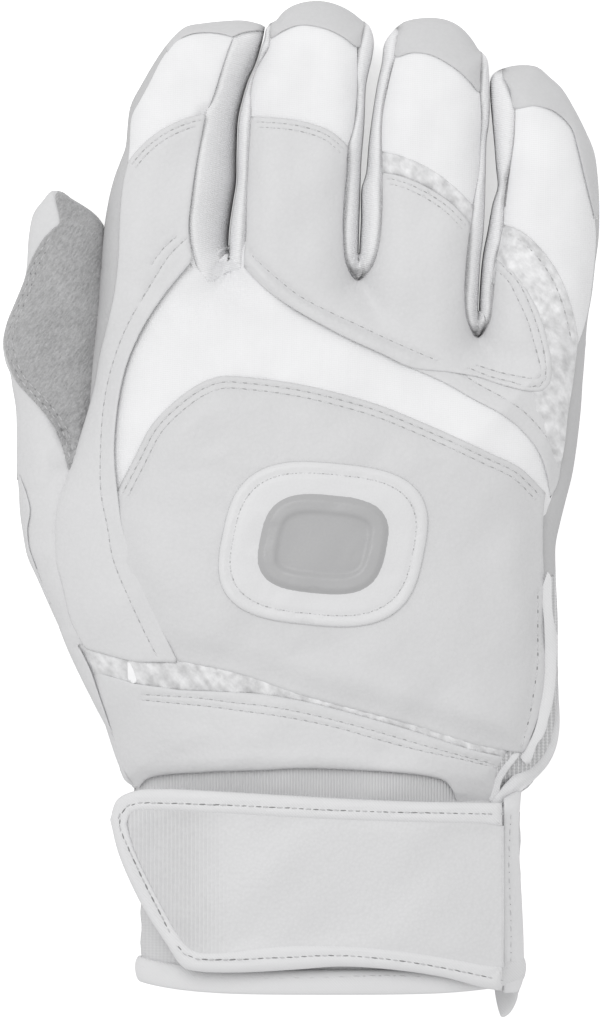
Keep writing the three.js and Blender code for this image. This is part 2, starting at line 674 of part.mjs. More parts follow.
for (const [name, finger] of Object.entries(fingers)) {
  const finger_end = {};
  finger_ends[name] = finger_end;
  const shell = cut(fingerSolid(finger, 0), fingerSolid(finger, shell_wall)).intersect(
    prism(beyond(finger.bend_share, half_joint)),
  );
  const cap_line = finger.cap_shares.map(place);
  const far = glove_length;
  const cap_outline = [
    ...cap_line,
    new THREE.Vector2(cap_line[cap_line.length - 1].x, far),
    new THREE.Vector2(cap_line[0].x, far),
  ];
  const back_outline = counterClockwise(
    [...finger.outer_seam_shares, ...finger.inner_seam_shares].map(place).reverse(),
  );
  const cap_tool = prism(grown(counterClockwise(cap_outline), seam_gap));
  finger_end[name + "_tip_cap"] = mainBody(shell.intersect(prism(counterClockwise(cap_outline))));
  finger_end[name + "_stretch_back"] = mainBody(
    cut(shell.intersect(prism(back_outline, seam_height)), cap_tool),
  );
  const back_tool = prism(grown(back_outline, seam_gap), seam_height - seam_gap);
  const rest = cut(shell, cap_tool, back_tool);
  const middle_line = place([(finger.outer_seam_shares[0][0] + finger.inner_seam_shares[0][0]) / 2, 0]).x;
  const side_prism = (left, right, low) =>
    prism(
      counterClockwise([
        new THREE.Vector2(left, 0),
        new THREE.Vector2(right, 0),
        new THREE.Vector2(right, far),
        new THREE.Vector2(left, far),
      ]),
      low,
    );
  const outer_side = (low) => side_prism(-far, middle_line, low);
  const inner_side = (low) => side_prism(middle_line, far, low);
  const walls = [];
  if (finger.outer_wall) {
    finger_end[name + "_outer_wall"] = mainBody(rest.intersect(outer_side(seam_height)));
    walls.push(outer_side(seam_height - seam_gap));
  }
  if (finger.inner_wall) {
    finger_end[name + "_inner_wall"] = mainBody(rest.intersect(inner_side(seam_height)));
    walls.push(inner_side(seam_height - seam_gap));
  }
  finger_end[name + "_front_leather"] = mainBody(cut(rest, ...walls));
}

const thumb_back_shares = [
  [-0.05, 0.5], [0.012, 0.6], [0.006, 0.66], [0.04, 0.735], [0.068, 0.765], [0.1, 0.83], [-0.05, 0.83],
];
const thumb_shell = cut(fingerSolid(thumb, 0), fingerSolid(thumb, shell_wall), hand_block).intersect(
  prism(beyond(thumb_cut_share, half_joint)),
);
const thumb_back_outline = counterClockwise(thumb_back_shares.map(place));
thumb_end.thumb_back_leather = mainBody(thumb_shell.intersect(prism(thumb_back_outline, thumb_seam_height)));
thumb_end.thumb_palm_leather = mainBody(
  cut(thumb_shell, prism(grown(thumb_back_outline, seam_gap), thumb_seam_height - seam_gap)),
);

// Materials, and the assembly

const finishes = {
  palm_leather: { color: "#b9b9bb", roughness: 0.8, metalness: 0 },
  light_leather: { color: "#dcdcde", roughness: 0.55, metalness: 0 },
  cap_leather: { color: "#d0d0d2", roughness: 0.6, metalness: 0 },
  stretch: { color: "#f3f3f5", roughness: 0.9, metalness: 0 },
  gloss: { color: "#dfdfe2", roughness: 0.15, metalness: 0 },
  suede: { color: "#b2b2b4", roughness: 1, metalness: 0 },
  binding: { color: "#e4e4e6", roughness: 0.6, metalness: 0 },
  knit: { color: "#c9c9cc", roughness: 0.95, metalness: 0 },
  moulded: { color: "#d6d6d9", roughness: 0.4, metalness: 0 },
  foam: { color: "#f0f0e8", roughness: 1, metalness: 0 },
};
const finish_of = {
  stretch: /stretch_back|wall|fourchette|flex_panel/,
  gloss: /gloss/,
  cap_leather: /tip_cap/,
  suede: /thumb_palm/,
  binding: /binding|hem|pull_tab|side_band/,
  knit: /rib_band|cuff_band|gusset|loop_patch|hook_patch/,
  moulded: /strap_panel|patch_motif|raised_patch/,
  foam: /foam/,
  palm_leather: /palm_leather|front_leather/,
  light_leather: /.*/,
};

function materialOf(name) {
  const [finish] = Object.entries(finish_of).find(([, pattern]) => pattern.test(name));
  return new THREE.MeshStandardMaterial({ name: finish, ...finishes[finish] });
}

function groupOf(pieces) {
  const group = new THREE.Group();
  for (const [name, piece] of Object.entries(pieces)) {
    const mesh = new THREE.Mesh(geometryOf(piece), materialOf(name));
    mesh.name = name;
    group.add(mesh);
  }
  return group;
}

const hand_group = groupOf(hand);
hand_group.getObjectByName("pull_tab").position.set(tab_place.x, hem_end - seam_gap, hand_height / 2);

const glove = new THREE.Group();
glove.add(hand_group, groupOf(strap), groupOf(thumb_end), ...Object.values(finger_ends).map(groupOf));

export default glove;
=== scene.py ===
import bpy
import numpy as np
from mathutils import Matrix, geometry


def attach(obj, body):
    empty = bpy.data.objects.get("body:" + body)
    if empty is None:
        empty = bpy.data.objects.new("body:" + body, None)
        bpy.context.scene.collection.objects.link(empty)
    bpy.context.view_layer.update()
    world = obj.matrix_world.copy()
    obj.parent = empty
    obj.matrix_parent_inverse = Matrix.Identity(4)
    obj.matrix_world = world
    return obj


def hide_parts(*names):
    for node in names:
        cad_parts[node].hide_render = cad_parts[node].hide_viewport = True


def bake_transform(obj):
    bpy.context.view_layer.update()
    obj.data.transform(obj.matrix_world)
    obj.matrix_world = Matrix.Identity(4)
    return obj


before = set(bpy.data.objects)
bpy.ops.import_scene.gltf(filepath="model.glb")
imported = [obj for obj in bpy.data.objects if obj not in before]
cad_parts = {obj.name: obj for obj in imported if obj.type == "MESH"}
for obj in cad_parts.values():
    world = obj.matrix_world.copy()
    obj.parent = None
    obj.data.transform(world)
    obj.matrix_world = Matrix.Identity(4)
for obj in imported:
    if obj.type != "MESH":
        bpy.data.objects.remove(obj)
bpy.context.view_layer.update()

# The palm leather. One grey hide closes the underside of the glove and wraps up both of its sides, where it
# shows as a narrow strip along the index finger and another along the little finger. The glove is filled as
# if worn, so each piece is laid over the padded outline of the hand or of the finger that it covers.
pixel = 0.215  # millimetres of glove to one pixel of the photograph
outline_step = 0.8
batch = 4000  # how many points are measured at once


def place(points):
    """Pixels of the photograph as millimetres across and along the glove."""
    return (np.array(points, float) - (300, 509.5)) * (pixel, -pixel)


def up_at(y):
    """How far up the glove a row of the photograph is, in millimetres."""
    return (509.5 - y) * pixel


def curve(points, step=outline_step, closed=False):
    """A smooth line through points of the photograph."""
    p = place(points)
    if closed:
        p = np.vstack([p[-1:], p, p[:2]])
    else:
        p = np.vstack([2 * p[:1] - p[1:2], p, 2 * p[-1:] - p[-2:-1]])
    knots = np.concatenate([[0], np.cumsum(np.linalg.norm(np.diff(p, axis=0), axis=1) ** 0.5)])
    out = []
    for k in range(1, len(p) - 2):
        count = max(1, round(np.linalg.norm(p[k + 1] - p[k]) / step))
        t = np.linspace(knots[k], knots[k + 1], count, endpoint=False)[:, None]
        k0, k1, k2, k3 = knots[k - 1 : k + 3]
        a1 = (p[k - 1] * (k1 - t) + p[k] * (t - k0)) / (k1 - k0)
        a2 = (p[k] * (k2 - t) + p[k + 1] * (t - k1)) / (k2 - k1)
        a3 = (p[k + 1] * (k3 - t) + p[k + 2] * (t - k2)) / (k3 - k2)
        b1 = (a1 * (k2 - t) + a2 * (t - k0)) / (k2 - k0)
        b2 = (a2 * (k3 - t) + a3 * (t - k1)) / (k3 - k1)
        out.append((b1 * (k2 - t) + b2 * (t - k1)) / (k2 - k1))
    if not closed:
        out.append(p[-2:-1])
    return np.vstack(out)


def away(xy, line):
    """How far each point is from an open line."""
    a, edge = line[:-1], np.diff(line, axis=0)
    length = (edge**2).sum(1) + 1e-12
    out = np.empty(len(xy))
    for first in range(0, len(xy), batch):
        q = xy[first : first + batch, None, :] - a
        t = np.clip((q * edge).sum(2) / length, 0, 1)
        out[first : first + batch] = np.sqrt(((q - t[..., None] * edge) ** 2).sum(2)).min(1)
    return out


def within(xy, loop):
    """Whether each point is inside a closed loop."""
    ax, ay = loop.T
    bx, by = np.roll(loop, -1, axis=0).T
    rise = np.where(by == ay, 1e-9, by - ay)
    out = np.empty(len(xy), bool)
    for first in range(0, len(xy), batch):
        x, y = xy[first : first + batch, 0:1], xy[first : first + batch, 1:2]
        crossed = ((ay > y) != (by > y)) & (x < ax + (y - ay) / rise * (bx - ax))
        out[first : first + batch] = crossed.sum(1) % 2 == 1
    return out


def depth(xy, loop):
    """Distance in from a closed loop, negative outside it."""
    near = away(xy, np.vstack([loop, loop[:1]]))
    return np.where(within(xy, loop), near, -near)


def swell(t, fullness=2.2):
    """A rise from 0 to 1 that starts steep, like the side of a filled bag."""
    return (1 - (1 - np.clip(t, 0, 1)) ** fullness) ** (1 / fullness)


def ease(t):
    """A rise from 0 to 1 that starts and ends level."""
    t = np.clip(t, 0, 1)
    return t * t * (3 - 2 * t)


shape_cell = 0.4  # the spacing of the table that holds each form's distance in from its outline
table_margin = 5
rim_slack = 0.04
fall_outside = 4  # how steeply a form falls away outside its outline
under_run, under_sink = 8, 0.6  # the width of a form's rounded lower edge, and how far it presses down


class Form:
    """One filled part of the hand: its outline, the height where it is widest, and how far its back
    rises above that. Both heights are given at places along the photograph."""

    def __init__(self, outline, widest, run, rises, fullness=2.2):
        self.loop = curve(outline, 1.0, closed=True)
        self.run, self.fullness = run, fullness
        self.widest, self.rises = sorted(self.at(widest)), sorted(self.at(rises))
        self.low = self.loop.min(0) - table_margin
        self.count = np.ceil((self.loop.max(0) + table_margin - self.low) / shape_cell).astype(int) + 1
        across, along_it = np.meshgrid(np.arange(self.count[0]), np.arange(self.count[1]))
        cells = np.stack([across.ravel(), along_it.ravel()], 1) * shape_cell + self.low
        self.table = depth(cells, self.loop).reshape(self.count[1], self.count[0])

    def at(self, heights):
        """Heights with their rows of the photograph as millimetres along the glove."""
        return [(up_at(y), height) for y, height in heights]

    def side(self, xy):
        """The height of the form's side."""
        return np.interp(xy[:, 1], *zip(*self.widest))

    def inside(self, xy):
        """How far in from the outline each point is, read from the table."""
        at = (xy - self.low) / shape_cell
        held = np.clip(at, 0, self.count - 1.001)
        i, j = held.astype(int).T
        u, v = (held - held.astype(int)).T
        near = (1 - v) * ((1 - u) * self.table[j, i] + u * self.table[j, i + 1])
        near += v * ((1 - u) * self.table[j + 1, i] + u * self.table[j + 1, i + 1])
        return near - np.linalg.norm(at - held, axis=1) * shape_cell

    def back(self, xy, out):
        """The height of the form's back, drawn out all round by a lift."""
        d, side = self.inside(xy) + out, self.side(xy)
        rise = np.interp(xy[:, 1], *zip(*self.rises)) + out
        top = side + rise * swell((d - rim_slack) / (self.run + out), self.fullness)
        return np.where(d < 0, side + fall_outside * d, top)

    def underside(self, xy, floor):
        """The height of the form's underside, which rests on a floor."""
        d, side = self.inside(xy), self.side(xy)
        low = side - (side - floor + under_sink) * swell((d - rim_slack) / under_run)
        return np.where(d < 0, side - fall_outside * d, low)


joining = 2.6  # how near in height two forms are where they begin to run together


def joined(heights, sign):
    """Heights of several forms run smoothly into one another."""
    out = heights[0] * sign
    for height in heights[1:]:
        height = height * sign
        near = np.clip(joining - abs(out - height), 0, None) / joining
        out = np.maximum(out, height) + near**2 * joining / 4
    return out * sign


def side_of(xy, forms):
    """The height of the side that a place on an outline belongs to."""
    nearest = np.argmin([abs(form.inside(xy)) for form in forms], axis=0)
    return np.choose(nearest, [form.side(xy) for form in forms])


hand = Form(
    [(128, 1100), (128, 900), (134, 810), (134, 789), (124, 780), (118.5, 766), (111.5, 740), (94.5, 706),
     (77, 671), (64, 642), (55, 615), (52, 590), (50, 554), (55, 500), (66, 471), (79, 420), (85, 389),
     (91, 340), (96, 300), (100, 268), (104, 262), (150, 262), (200, 264), (228, 266), (290, 262),
     (357, 268), (400, 285), (440, 305), (478, 330), (520, 330), (560, 325), (585, 335), (584, 360),
     (583, 384), (580.5, 418), (573, 473), (566, 501), (560, 525), (556, 545), (556, 573), (558, 620),
     (558, 664), (559, 723), (556, 744), (549, 760), (541, 770), (536, 778), (528, 788), (519.5, 794),
     (516, 812), (516, 900), (516, 1100)],
    widest=[(380, 9.5), (540, 11.5)], run=40,
    rises=[(260, 22.0), (380, 22.3), (540, 20.7), (700, 21.5), (1000, 22.5)],
)
index = Form(
    [(95, 400), (97, 340), (100, 268), (106, 212), (113, 180), (121, 158), (125, 147), (130, 106),
     (141, 84), (161, 51), (175, 34), (186, 25.5), (205, 22), (225, 20), (243, 19.5), (256, 22), (265, 26),
     (264, 32), (261, 45), (256, 62), (248, 80), (242, 100), (238, 119), (236.5, 153), (236, 182),
     (233, 201), (229, 230), (228, 264), (228, 300), (226, 350), (222, 400), (200, 420), (150, 425),
     (110, 420)],
    widest=[(200, 9.5)], run=10, rises=[(20, 10.0), (60, 12.0), (140, 13.5), (260, 15.5), (420, 14.0)],
)
middle = Form(
    [(232, 400), (229, 350), (229, 300), (229, 264), (230, 230), (234, 201), (237, 182), (237.5, 153),
     (239, 119), (243, 100), (249, 80), (257, 62), (262, 45), (264, 40), (266, 28), (270, 22.5),
     (276.5, 19), (282, 12), (293, 4.5), (309, 0.3), (324, 0.3), (339.6, 4.5), (353, 12), (363.5, 20.5),
     (369, 24), (373, 34), (374, 43), (372, 58), (368, 75), (366, 87), (365, 110), (364, 130), (361.5, 160),
     (360.5, 189), (359.5, 220), (358.5, 260), (358, 300), (358, 350), (354, 400), (330, 420), (260, 420)],
    widest=[(200, 9.5)], run=10.5, rises=[(0, 9.5), (40, 12.0), (140, 14.5), (260, 17.0), (420, 15.0)],
)
ring = Form(
    [(360, 400), (359, 350), (359, 300), (359, 260), (361, 220), (361.5, 189), (366, 173), (369, 141),
     (374, 104), (378, 80), (382, 62), (384, 45), (387, 38), (396, 27), (404, 21), (418, 17.5), (437, 17),
     (450, 20), (462, 27), (472, 38), (480, 50), (486, 55), (488.5, 62), (489.4, 76), (490, 100),
     (489.4, 122), (487, 138), (486, 172), (485, 210), (483, 241), (481, 256), (479, 290), (478, 325),
     (477, 370), (473, 420), (440, 440), (380, 430)],
    widest=[(200, 9.5)], run=10.5, rises=[(15, 9.5), (60, 12.5), (160, 14.5), (280, 16.5), (440, 15.0)],
)
little = Form(
    [(480, 430), (479, 370), (479, 325), (480, 290), (483, 256), (488, 230), (493, 203), (498, 186),
     (496.5, 168), (494.5, 142), (492, 115), (490.5, 96), (491, 78), (495, 72), (502, 68), (513, 65),
     (525, 64), (538, 66), (550, 76), (562, 87), (575, 108), (588, 134), (595, 152), (599, 184), (600, 217),
     (599, 240), (596, 262), (592.5, 293), (588, 320), (585, 360), (583, 384), (580, 418), (574, 460),
     (560, 470), (500, 470)],
    widest=[(240, 9.0), (330, 9.5)], run=10, rises=[(60, 8.5), (110, 11.5), (220, 13.0), (340, 15.0),
            (470, 14.0)],
)
thumb = Form(
    [(51, 190), (42, 200), (33, 212), (28, 235), (26, 265), (24, 277), (15, 300), (6, 322), (2, 343),
     (5, 363), (9, 372), (12, 390), (15, 408), (16, 440), (16, 469), (18, 490), (19, 510), (22, 532),
     (27, 557), (37, 579), (51, 610.5), (61, 632), (76, 662), (110, 662), (140, 600), (150, 540),
     (140, 480), (116, 440), (110, 411), (109, 376), (109, 333), (109, 300), (107, 268), (105, 229),
     (95, 214), (83, 205), (70, 197), (62, 191)],
    widest=[(470, 7.0), (600, 11.5)], run=9, fullness=2.0,
    rises=[(190, 6.0), (240, 8.0), (330, 9.5), (460, 11.0), (650, 12.0)],
)
fingers = {"index": index, "middle": middle, "ring": ring, "little": little}
everything = [hand, index, middle, ring, little]


def top_of(xy, on, out=0.0):
    """The height of the back of several forms together."""
    return joined([form.back(xy, out) for form in on], 1)


def under_of(xy, on, floor):
    """The height of the underside of several forms together."""
    return np.maximum(joined([form.underside(xy, floor) for form in on], -1), floor)


def along(form, start, end):
    """The shorter way round a form's outline between two points of the photograph."""
    first, last = (int(np.argmin(np.linalg.norm(form.loop - p, axis=1))) for p in place([start, end]))
    count = len(form.loop)
    ahead, behind = (last - first) % count, (first - last) % count
    if ahead <= behind:
        return form.loop[(first + np.arange(ahead + 1)) % count]
    return form.loop[(first - np.arange(behind + 1)) % count]


def run(kind, *points):
    """A run of a pattern piece's edge through points of the photograph, and how it is finished."""
    return curve(points), kind


def rims_of(form, *points):
    """The runs that follow a form's outline from point to point of the photograph."""
    return [(along(form, start, end), "rim") for start, end in zip(points, points[1:])]


def moved(line, across, down=0):
    """A line moved by pixels of the photograph."""
    return line + np.array((across, -down)) * pixel


def across_of(line):
    """The direction to the left of a line at each of its points."""
    ahead = np.gradient(line, axis=0)
    return np.stack([-ahead[:, 1], ahead[:, 0]], 1) / (np.linalg.norm(ahead, axis=1)[:, None] + 1e-9)


shortest_side = 0.15


def edge_of(runs):
    """The runs of a pattern piece as one closed edge, counter-clockwise."""
    edge = np.vstack([line for line, kind in runs])
    edge = edge[np.linalg.norm(edge - np.roll(edge, 1, axis=0), axis=1) > shortest_side]
    turn = np.roll(edge, -1, axis=0)
    if (edge[:, 0] * turn[:, 1] - turn[:, 0] * edge[:, 1]).sum() < 0:
        edge = edge[::-1]
    return edge


def row_in(line, gap, edge):
    """A row of stitches at a distance in from a run of the edge."""
    if not gap:
        return line
    sides = [line + across_of(line) * gap * sign for sign in (1, -1)]
    side = max(sides, key=lambda row: np.median(depth(row, edge)))
    side = side[depth(side, edge) > gap * 0.8]
    return side[np.r_[True, np.linalg.norm(np.diff(side, axis=0), axis=1) > 0.05]]


rings = (0.12, 0.35, 0.75, 1.3)  # how far in from a cut edge its closest rows of points lie
groove_rows = (-0.75, -0.35, 0, 0.35, 0.75)
groove_clearance = 0.95


def cut_of(runs, grain, rows=()):
    """A flat pattern piece filled with triangles, which are finer along its edge and its rows of stitches."""
    edge = edge_of(runs)
    ahead = np.roll(edge, -1, axis=0) - np.roll(edge, 1, axis=0)
    inward = np.stack([-ahead[:, 1], ahead[:, 0]], 1) / (np.linalg.norm(ahead, axis=1)[:, None] + 1e-9)
    points = [edge]
    for step in rings:
        ring_points = edge + inward * step
        points.append(ring_points[depth(ring_points, edge) > step * 0.93])
    low, high = edge.min(0), edge.max(0)
    spots = []
    for k, y in enumerate(np.arange(low[1], high[1], grain * 0.866)):
        x = np.arange(low[0] + (k % 2) * grain / 2, high[0], grain)
        spots.append(np.stack([x, np.full(len(x), y)], 1))
    spots = np.vstack(spots)
    spots = spots[depth(spots, edge) > rings[-1] + grain * 0.45]
    for row in rows:
        spots = spots[away(spots, row) > groove_clearance]
        for offset in groove_rows:
            beside = row + across_of(row) * offset
            points.append(beside[depth(beside, edge) > 0.25])
    points.append(spots)
    flat = [tuple(p) for p in np.vstack(points)]
    xy, _, faces, *_ = geometry.delaunay_2d_cdt(flat, [], [list(range(len(edge)))], 1, 1e-4)
    return np.array([tuple(p) for p in xy]), [tuple(f) for f in faces]


def mesh_of(name, points, faces):
    """An object from points in millimetres."""
    mesh = bpy.data.meshes.new(name)
    mesh.from_pydata([tuple(p) for p in points * 0.001], [], faces)
    mesh.polygons.foreach_set("use_smooth", [True] * len(mesh.polygons))
    mesh.update()
    piece = bpy.data.objects.new(name, mesh)
    bpy.context.scene.collection.objects.link(piece)
    return piece


lowest = 0.05  # the inner face of a piece that rests on the ground stays this far above it


def shell(name, points, faces, wall):
    """A closed piece from its outer face, with a wall that goes in along the face's normals."""
    corner = [points[[f[k] for f in faces]] for k in range(3)]
    normal = np.cross(corner[1] - corner[0], corner[2] - corner[0])
    at_point = np.zeros_like(points)
    for k in range(3):
        np.add.at(at_point, [f[k] for f in faces], normal)
    at_point /= np.linalg.norm(at_point, axis=1)[:, None] + 1e-12
    inner = points - at_point * wall
    inner[:, 2] = np.maximum(inner[:, 2], lowest)
    count = len(points)
    sides = {}
    for a, b, c in faces:
        for start, end in ((a, b), (b, c), (c, a)):
            if (end, start) in sides:
                del sides[(end, start)]
            else:
                sides[(start, end)] = True
    walls = [(end, start, start + count, end + count) for start, end in sides]
    inside = [(c + count, b + count, a + count) for a, b, c in faces]
    return mesh_of(name, np.vstack([points, inner]), list(faces) + inside + walls)


surfaces, stitch_rows = {}, {}  # the height of each pattern piece's face, and its rows of stitches
swells = [(0.21, 0.05, 0.3, 0.25), (-0.09, 0.17, 1.9, 0.24), (0.13, -0.22, 4.1, 0.17),
          (0.36, 0.21, 2.2, 0.11), (-0.28, 0.4, 5.3, 0.09), (0.5, -0.37, 0.9, 0.06)]


def uneven(xy):
    """The slow rise and fall of soft goods over their filling, in millimetres."""
    return sum(size * np.sin(xy[:, 0] * u + xy[:, 1] * v + start) for u, v, start, size in swells)


edge_kinds = {"lap": (0.55, 0.7), "butt": (0.5, 0.8), "tuck": (1.1, 3.0)}  # an edge's drop and its width
groove_depth, groove_width = 0.22, 0.42
rim_rise = 1.6  # how far in from a rim the piece's lift begins
rim_calm = 3.0  # how far in from a rim the unevenness begins
rim_near, rim_level = 0.25, 2.5  # a rim this near to an outline meets the piece below it over this width


def patch(name, runs, on, out=0.0, wall=0.8, grain=1.1, floor=None, shape=None, rows=(), folds=()):
    """A pattern piece laid on the back of the forms, or on their underside where it has a floor. Its lift
    out from them is a number or changes over the piece. Each of its rows of stitches is (line, distance in
    from it), and lies in a shallow groove. Each of its folds is (line, rise, width). A shape has the last
    word on the heights."""
    edge = edge_of(runs)
    sewn = [row_in(line, gap, edge) for line, gap in rows]
    rims = [line for line, kind in runs if kind == "rim"]
    sign = 1 if floor is None else -1
    level_rim = bool(rims) and shape is None
    if level_rim:
        rim = np.concatenate(rims)
        on_side = np.min([abs(form.inside(rim)) for form in on], axis=0) < rim_near

    def laid(xy, lift):
        return top_of(xy, on, lift) if floor is None else under_of(xy, on, floor)

    def surface(xy):
        lift = out(xy) if callable(out) else np.full(len(xy), out)
        if rims and lift.max() > 0:
            lift = lift * swell(np.min([away(xy, line) for line in rims], axis=0) / rim_rise)
        z = laid(xy, lift)
        if level_rim:
            nearest = np.linalg.norm(xy[:, None] - rim[None], axis=2).argmin(1)
            fall = 1 - ease(np.min([away(xy, line) for line in rims], axis=0) / rim_level)
            step = np.clip(laid(rim, 0) - side_of(rim, on), -joining, joining) * on_side
            z = z - fall * step[nearest]
        for kind, (drop, reach) in edge_kinds.items():
            lines = [line for line, its_kind in runs if its_kind == kind]
            if lines:
                near = np.min([away(xy, line) for line in lines], axis=0)
                fall = 1 - (ease(near / reach) if kind == "tuck" else swell(near / reach, 2))
                z = z - sign * drop * fall
        for row in sewn:
            z = z - sign * groove_depth * np.exp(-((away(xy, row) / groove_width) ** 2))
        for line, rise, width in folds:
            z = z + sign * rise * np.exp(-((away(xy, line) / width) ** 2))
        if floor is None:
            waves = uneven(xy)
            for line in rims:
                waves = waves * ease(away(xy, line) / rim_calm)
            z = z + waves
        return z if shape is None else shape(xy, z)

    xy, faces = cut_of(runs, grain, sewn)
    if floor is not None:
        faces = [face[::-1] for face in faces]
    surfaces[name], stitch_rows[name] = surface, sewn
    return shell(name, np.column_stack([xy, surface(xy)]), faces, wall)


textures = {  # each kind's node, its output, its inputs, and its period in units of its scale
    "cell": ("ShaderNodeTexVoronoi", "Distance", {}, 1),
    "rib": ("ShaderNodeTexWave", "Fac", {"Distortion": 0.6, "Detail Scale": 0.4}, 0.31416),
    "noise": ("ShaderNodeTexNoise", "Fac", {"Detail": 3.0}, 1),
}


def node(tree, kind, inputs=None, **settings):
    """A new node with its settings and the values of its inputs."""
    new = tree.nodes.new(kind)
    for name, value in settings.items():
        setattr(new, name, value)
    for name, value in (inputs or {}).items():
        new.inputs[name].default_value = value
    return new


def wire(tree, *pairs):
    """Links nodes: each pair is (node, its output, node, its input)."""
    for source, output, target, socket in pairs:
        tree.links.new(source.outputs[output], target.inputs[socket])


def finish(name, tone, roughness, layers, specular=0.4, sheen=0.0, coat=0.0):
    """A cloth or hide: its tone as seen in plain light, then layers of texture that shade it and raise it.
    Each layer is (texture, period in millimetres, turn in degrees, height in millimetres, shade), and one
    that is only at one end of a piece adds where along X it fades out and in, in millimetres."""
    material = bpy.data.materials.new(name)
    material.use_nodes = True
    tree = material.node_tree
    shader = tree.nodes["Principled BSDF"]
    for label, value in (("Roughness", roughness), ("Specular IOR Level", specular), ("Sheen Weight", sheen),
                         ("Sheen Roughness", 0.5), ("Coat Weight", coat), ("Coat Roughness", 0.25)):
        shader.inputs[label].default_value = value
    where = node(tree, "ShaderNodeTexCoord")
    sums = {}
    for kind, period, turn, raised, darker, *fade in layers:
        node_kind, output, inputs, unit = textures[kind]
        span = np.array(period if isinstance(period, tuple) else (period,) * 3) * 0.001 / unit
        placing = {"Rotation": (0, 0, np.radians(turn)), "Scale": tuple(span)}
        mapping = node(tree, "ShaderNodeMapping", placing, vector_type="TEXTURE")
        texture = node(tree, node_kind, {"Scale": 1.0, **inputs})
        wire(tree, (where, "Object", mapping, "Vector"), (mapping, "Vector", texture, "Vector"))
        value = texture.outputs[output]
        if fade:
            gone, full = fade[0]
            split = node(tree, "ShaderNodeSeparateXYZ")
            fading = node(tree, "ShaderNodeMapRange", {"From Min": gone * 0.001, "From Max": full * 0.001})
            held = node(tree, "ShaderNodeMath", operation="MULTIPLY")
            wire(tree, (where, "Object", split, "Vector"), (split, "X", fading, "Value"),
                 (texture, output, held, 0), (fading, "Result", held, 1))
            value = held.outputs[0]
        for use, amount, base in (("height", raised * 0.001, 0.0), ("shade", -darker, 1.0 + darker * 0.5)):
            if amount:
                add = node(tree, "ShaderNodeMath", {1: amount, 2: base}, operation="MULTIPLY_ADD")
                tree.links.new(value, add.inputs[0])
                if use in sums:
                    wire(tree, (sums[use], 0, add, 2))
                sums[use] = add
    linear = (tone / 255) ** 2.2
    if "shade" in sums:
        scale = node(tree, "ShaderNodeVectorMath", {0: (linear, linear, linear * 1.01)}, operation="SCALE")
        wire(tree, (sums["shade"], 0, scale, "Scale"), (scale, 0, shader, "Base Color"))
    if "height" in sums:
        bump = node(tree, "ShaderNodeBump", {"Distance": 1.0})
        wire(tree, (sums["height"], 0, bump, "Height"), (bump, "Normal", shader, "Normal"))
    return material


def made(piece, material, slot, bodies, *nodes):
    """Gives a piece its material and hides the CAD nodes that it stands for. A piece with one body is put
    under that body to move with it; a piece given a bend is only fixed in place.
    """
    piece.data.materials.clear()
    piece.data.materials.append(material)
    if nodes:
        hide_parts(*nodes)
    if isinstance(bodies, str):
        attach(piece, bodies)
    else:
        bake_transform(piece)
    return piece


bends = {}  # for each finger: the body of its end, and where its piece begins and ends to turn with it
bend_lines = {  # the crease across each finger, and how far beyond it the bend begins, in millimetres
    "index": ((112, 126), (224, 151), 0.0), "middle": ((247, 119), (359, 131), 0.0),
    "ring": ((372, 176), (486, 180), 4.5), "little": ((486, 244), (597, 236), 4.5),
}
bend_zone = 13.0
bend_height = 0.01  # metres above the ground
for finger, (left, right, later) in bend_lines.items():
    a, b = place([left, right])
    forward = np.array((a[1] - b[1], b[0] - a[0])) / np.linalg.norm(b - a)
    zone_start = (a + b) / 2 + forward * later
    zone_end = zone_start + forward * bend_zone
    bends[finger] = (finger + "_end", (*zone_start * 0.001, bend_height), (*zone_end * 0.001, bend_height))
thumb_root, thumb_free = place([(16, 470), (16, 400)]) * 0.001
bends["thumb"] = ("thumb", (*thumb_root, bend_height), (*thumb_free, bend_height))

hide_layers = [
    ("noise", 22, 0, 0.35, 0.05), ("cell", 0.9, 0, 0.05, 0.03), ("noise", 2.4, 30, 0.1, 0.03),
    ("noise", 0.4, 0, 0.02, 0.02),
]
palm_hide = finish("palm_hide", 203, 0.62, hide_layers)
strip_points = [(178, 38), (173, 44), (161.7, 59.3), (150, 82.3), (138.7, 103.3), (133.5, 112),
                (130.8, 121), (130, 135), (129.3, 149), (128.2, 164), (124, 180), (121, 205.6),
                (119.6, 229.3), (118.6, 259), (114.7, 292.6), (107.8, 324.2), (98.9, 359.8), (94.9, 383.6),
                (89, 407.3), (83, 427), (71, 465)]
index_strip = patch(
    "index_side_strip",
    [*rims_of(index, (178, 31), (100, 268)), *rims_of(hand, (100, 268), (66, 471)),
     (moved(curve(strip_points), 8)[::-1], "tuck"), run("butt", (184, 43), (178, 31))],
    [hand, index], wall=0.9,
)
made(index_strip, palm_hide, "palm_leather", bends["index"], "palm_leather")
little_strip_inner = curve([(594, 200), (597, 219), (597, 243), (591, 301), (585, 327), (578, 345),
                            (573, 364), (571, 386), (566, 418), (562, 440), (559, 464), (556, 483),
                            (551, 499), (549, 520), (546, 545)])
little_strip = patch(
    "little_side_strip",
    [*rims_of(little, (598, 184), (583, 384)), *rims_of(hand, (583, 384), (519.5, 794)),
     run("tuck", (519.5, 794), (506, 796), (512, 782), (530, 764), (540, 745), (544, 700), (543, 640),
                 (540, 560)),
     (moved(little_strip_inner, -7)[::-1], "tuck"),
     run("tuck", (587, 200), (598, 184))],
    [hand, little], wall=0.9,
)
made(little_strip, palm_hide, "palm_leather", bends["little"], "palm_leather")
palm = patch(
    "palm",
    [*rims_of(hand, (134, 789), (66, 471), (100, 268), (357, 268), (585, 335), (556, 573), (516, 812)),
     run("rim", (516, 812), (300, 812), (131, 812))],
    everything, wall=1.4, grain=1.6, floor=0.3,
)
made(palm, palm_hide, "palm_leather", "hand", "palm_leather")
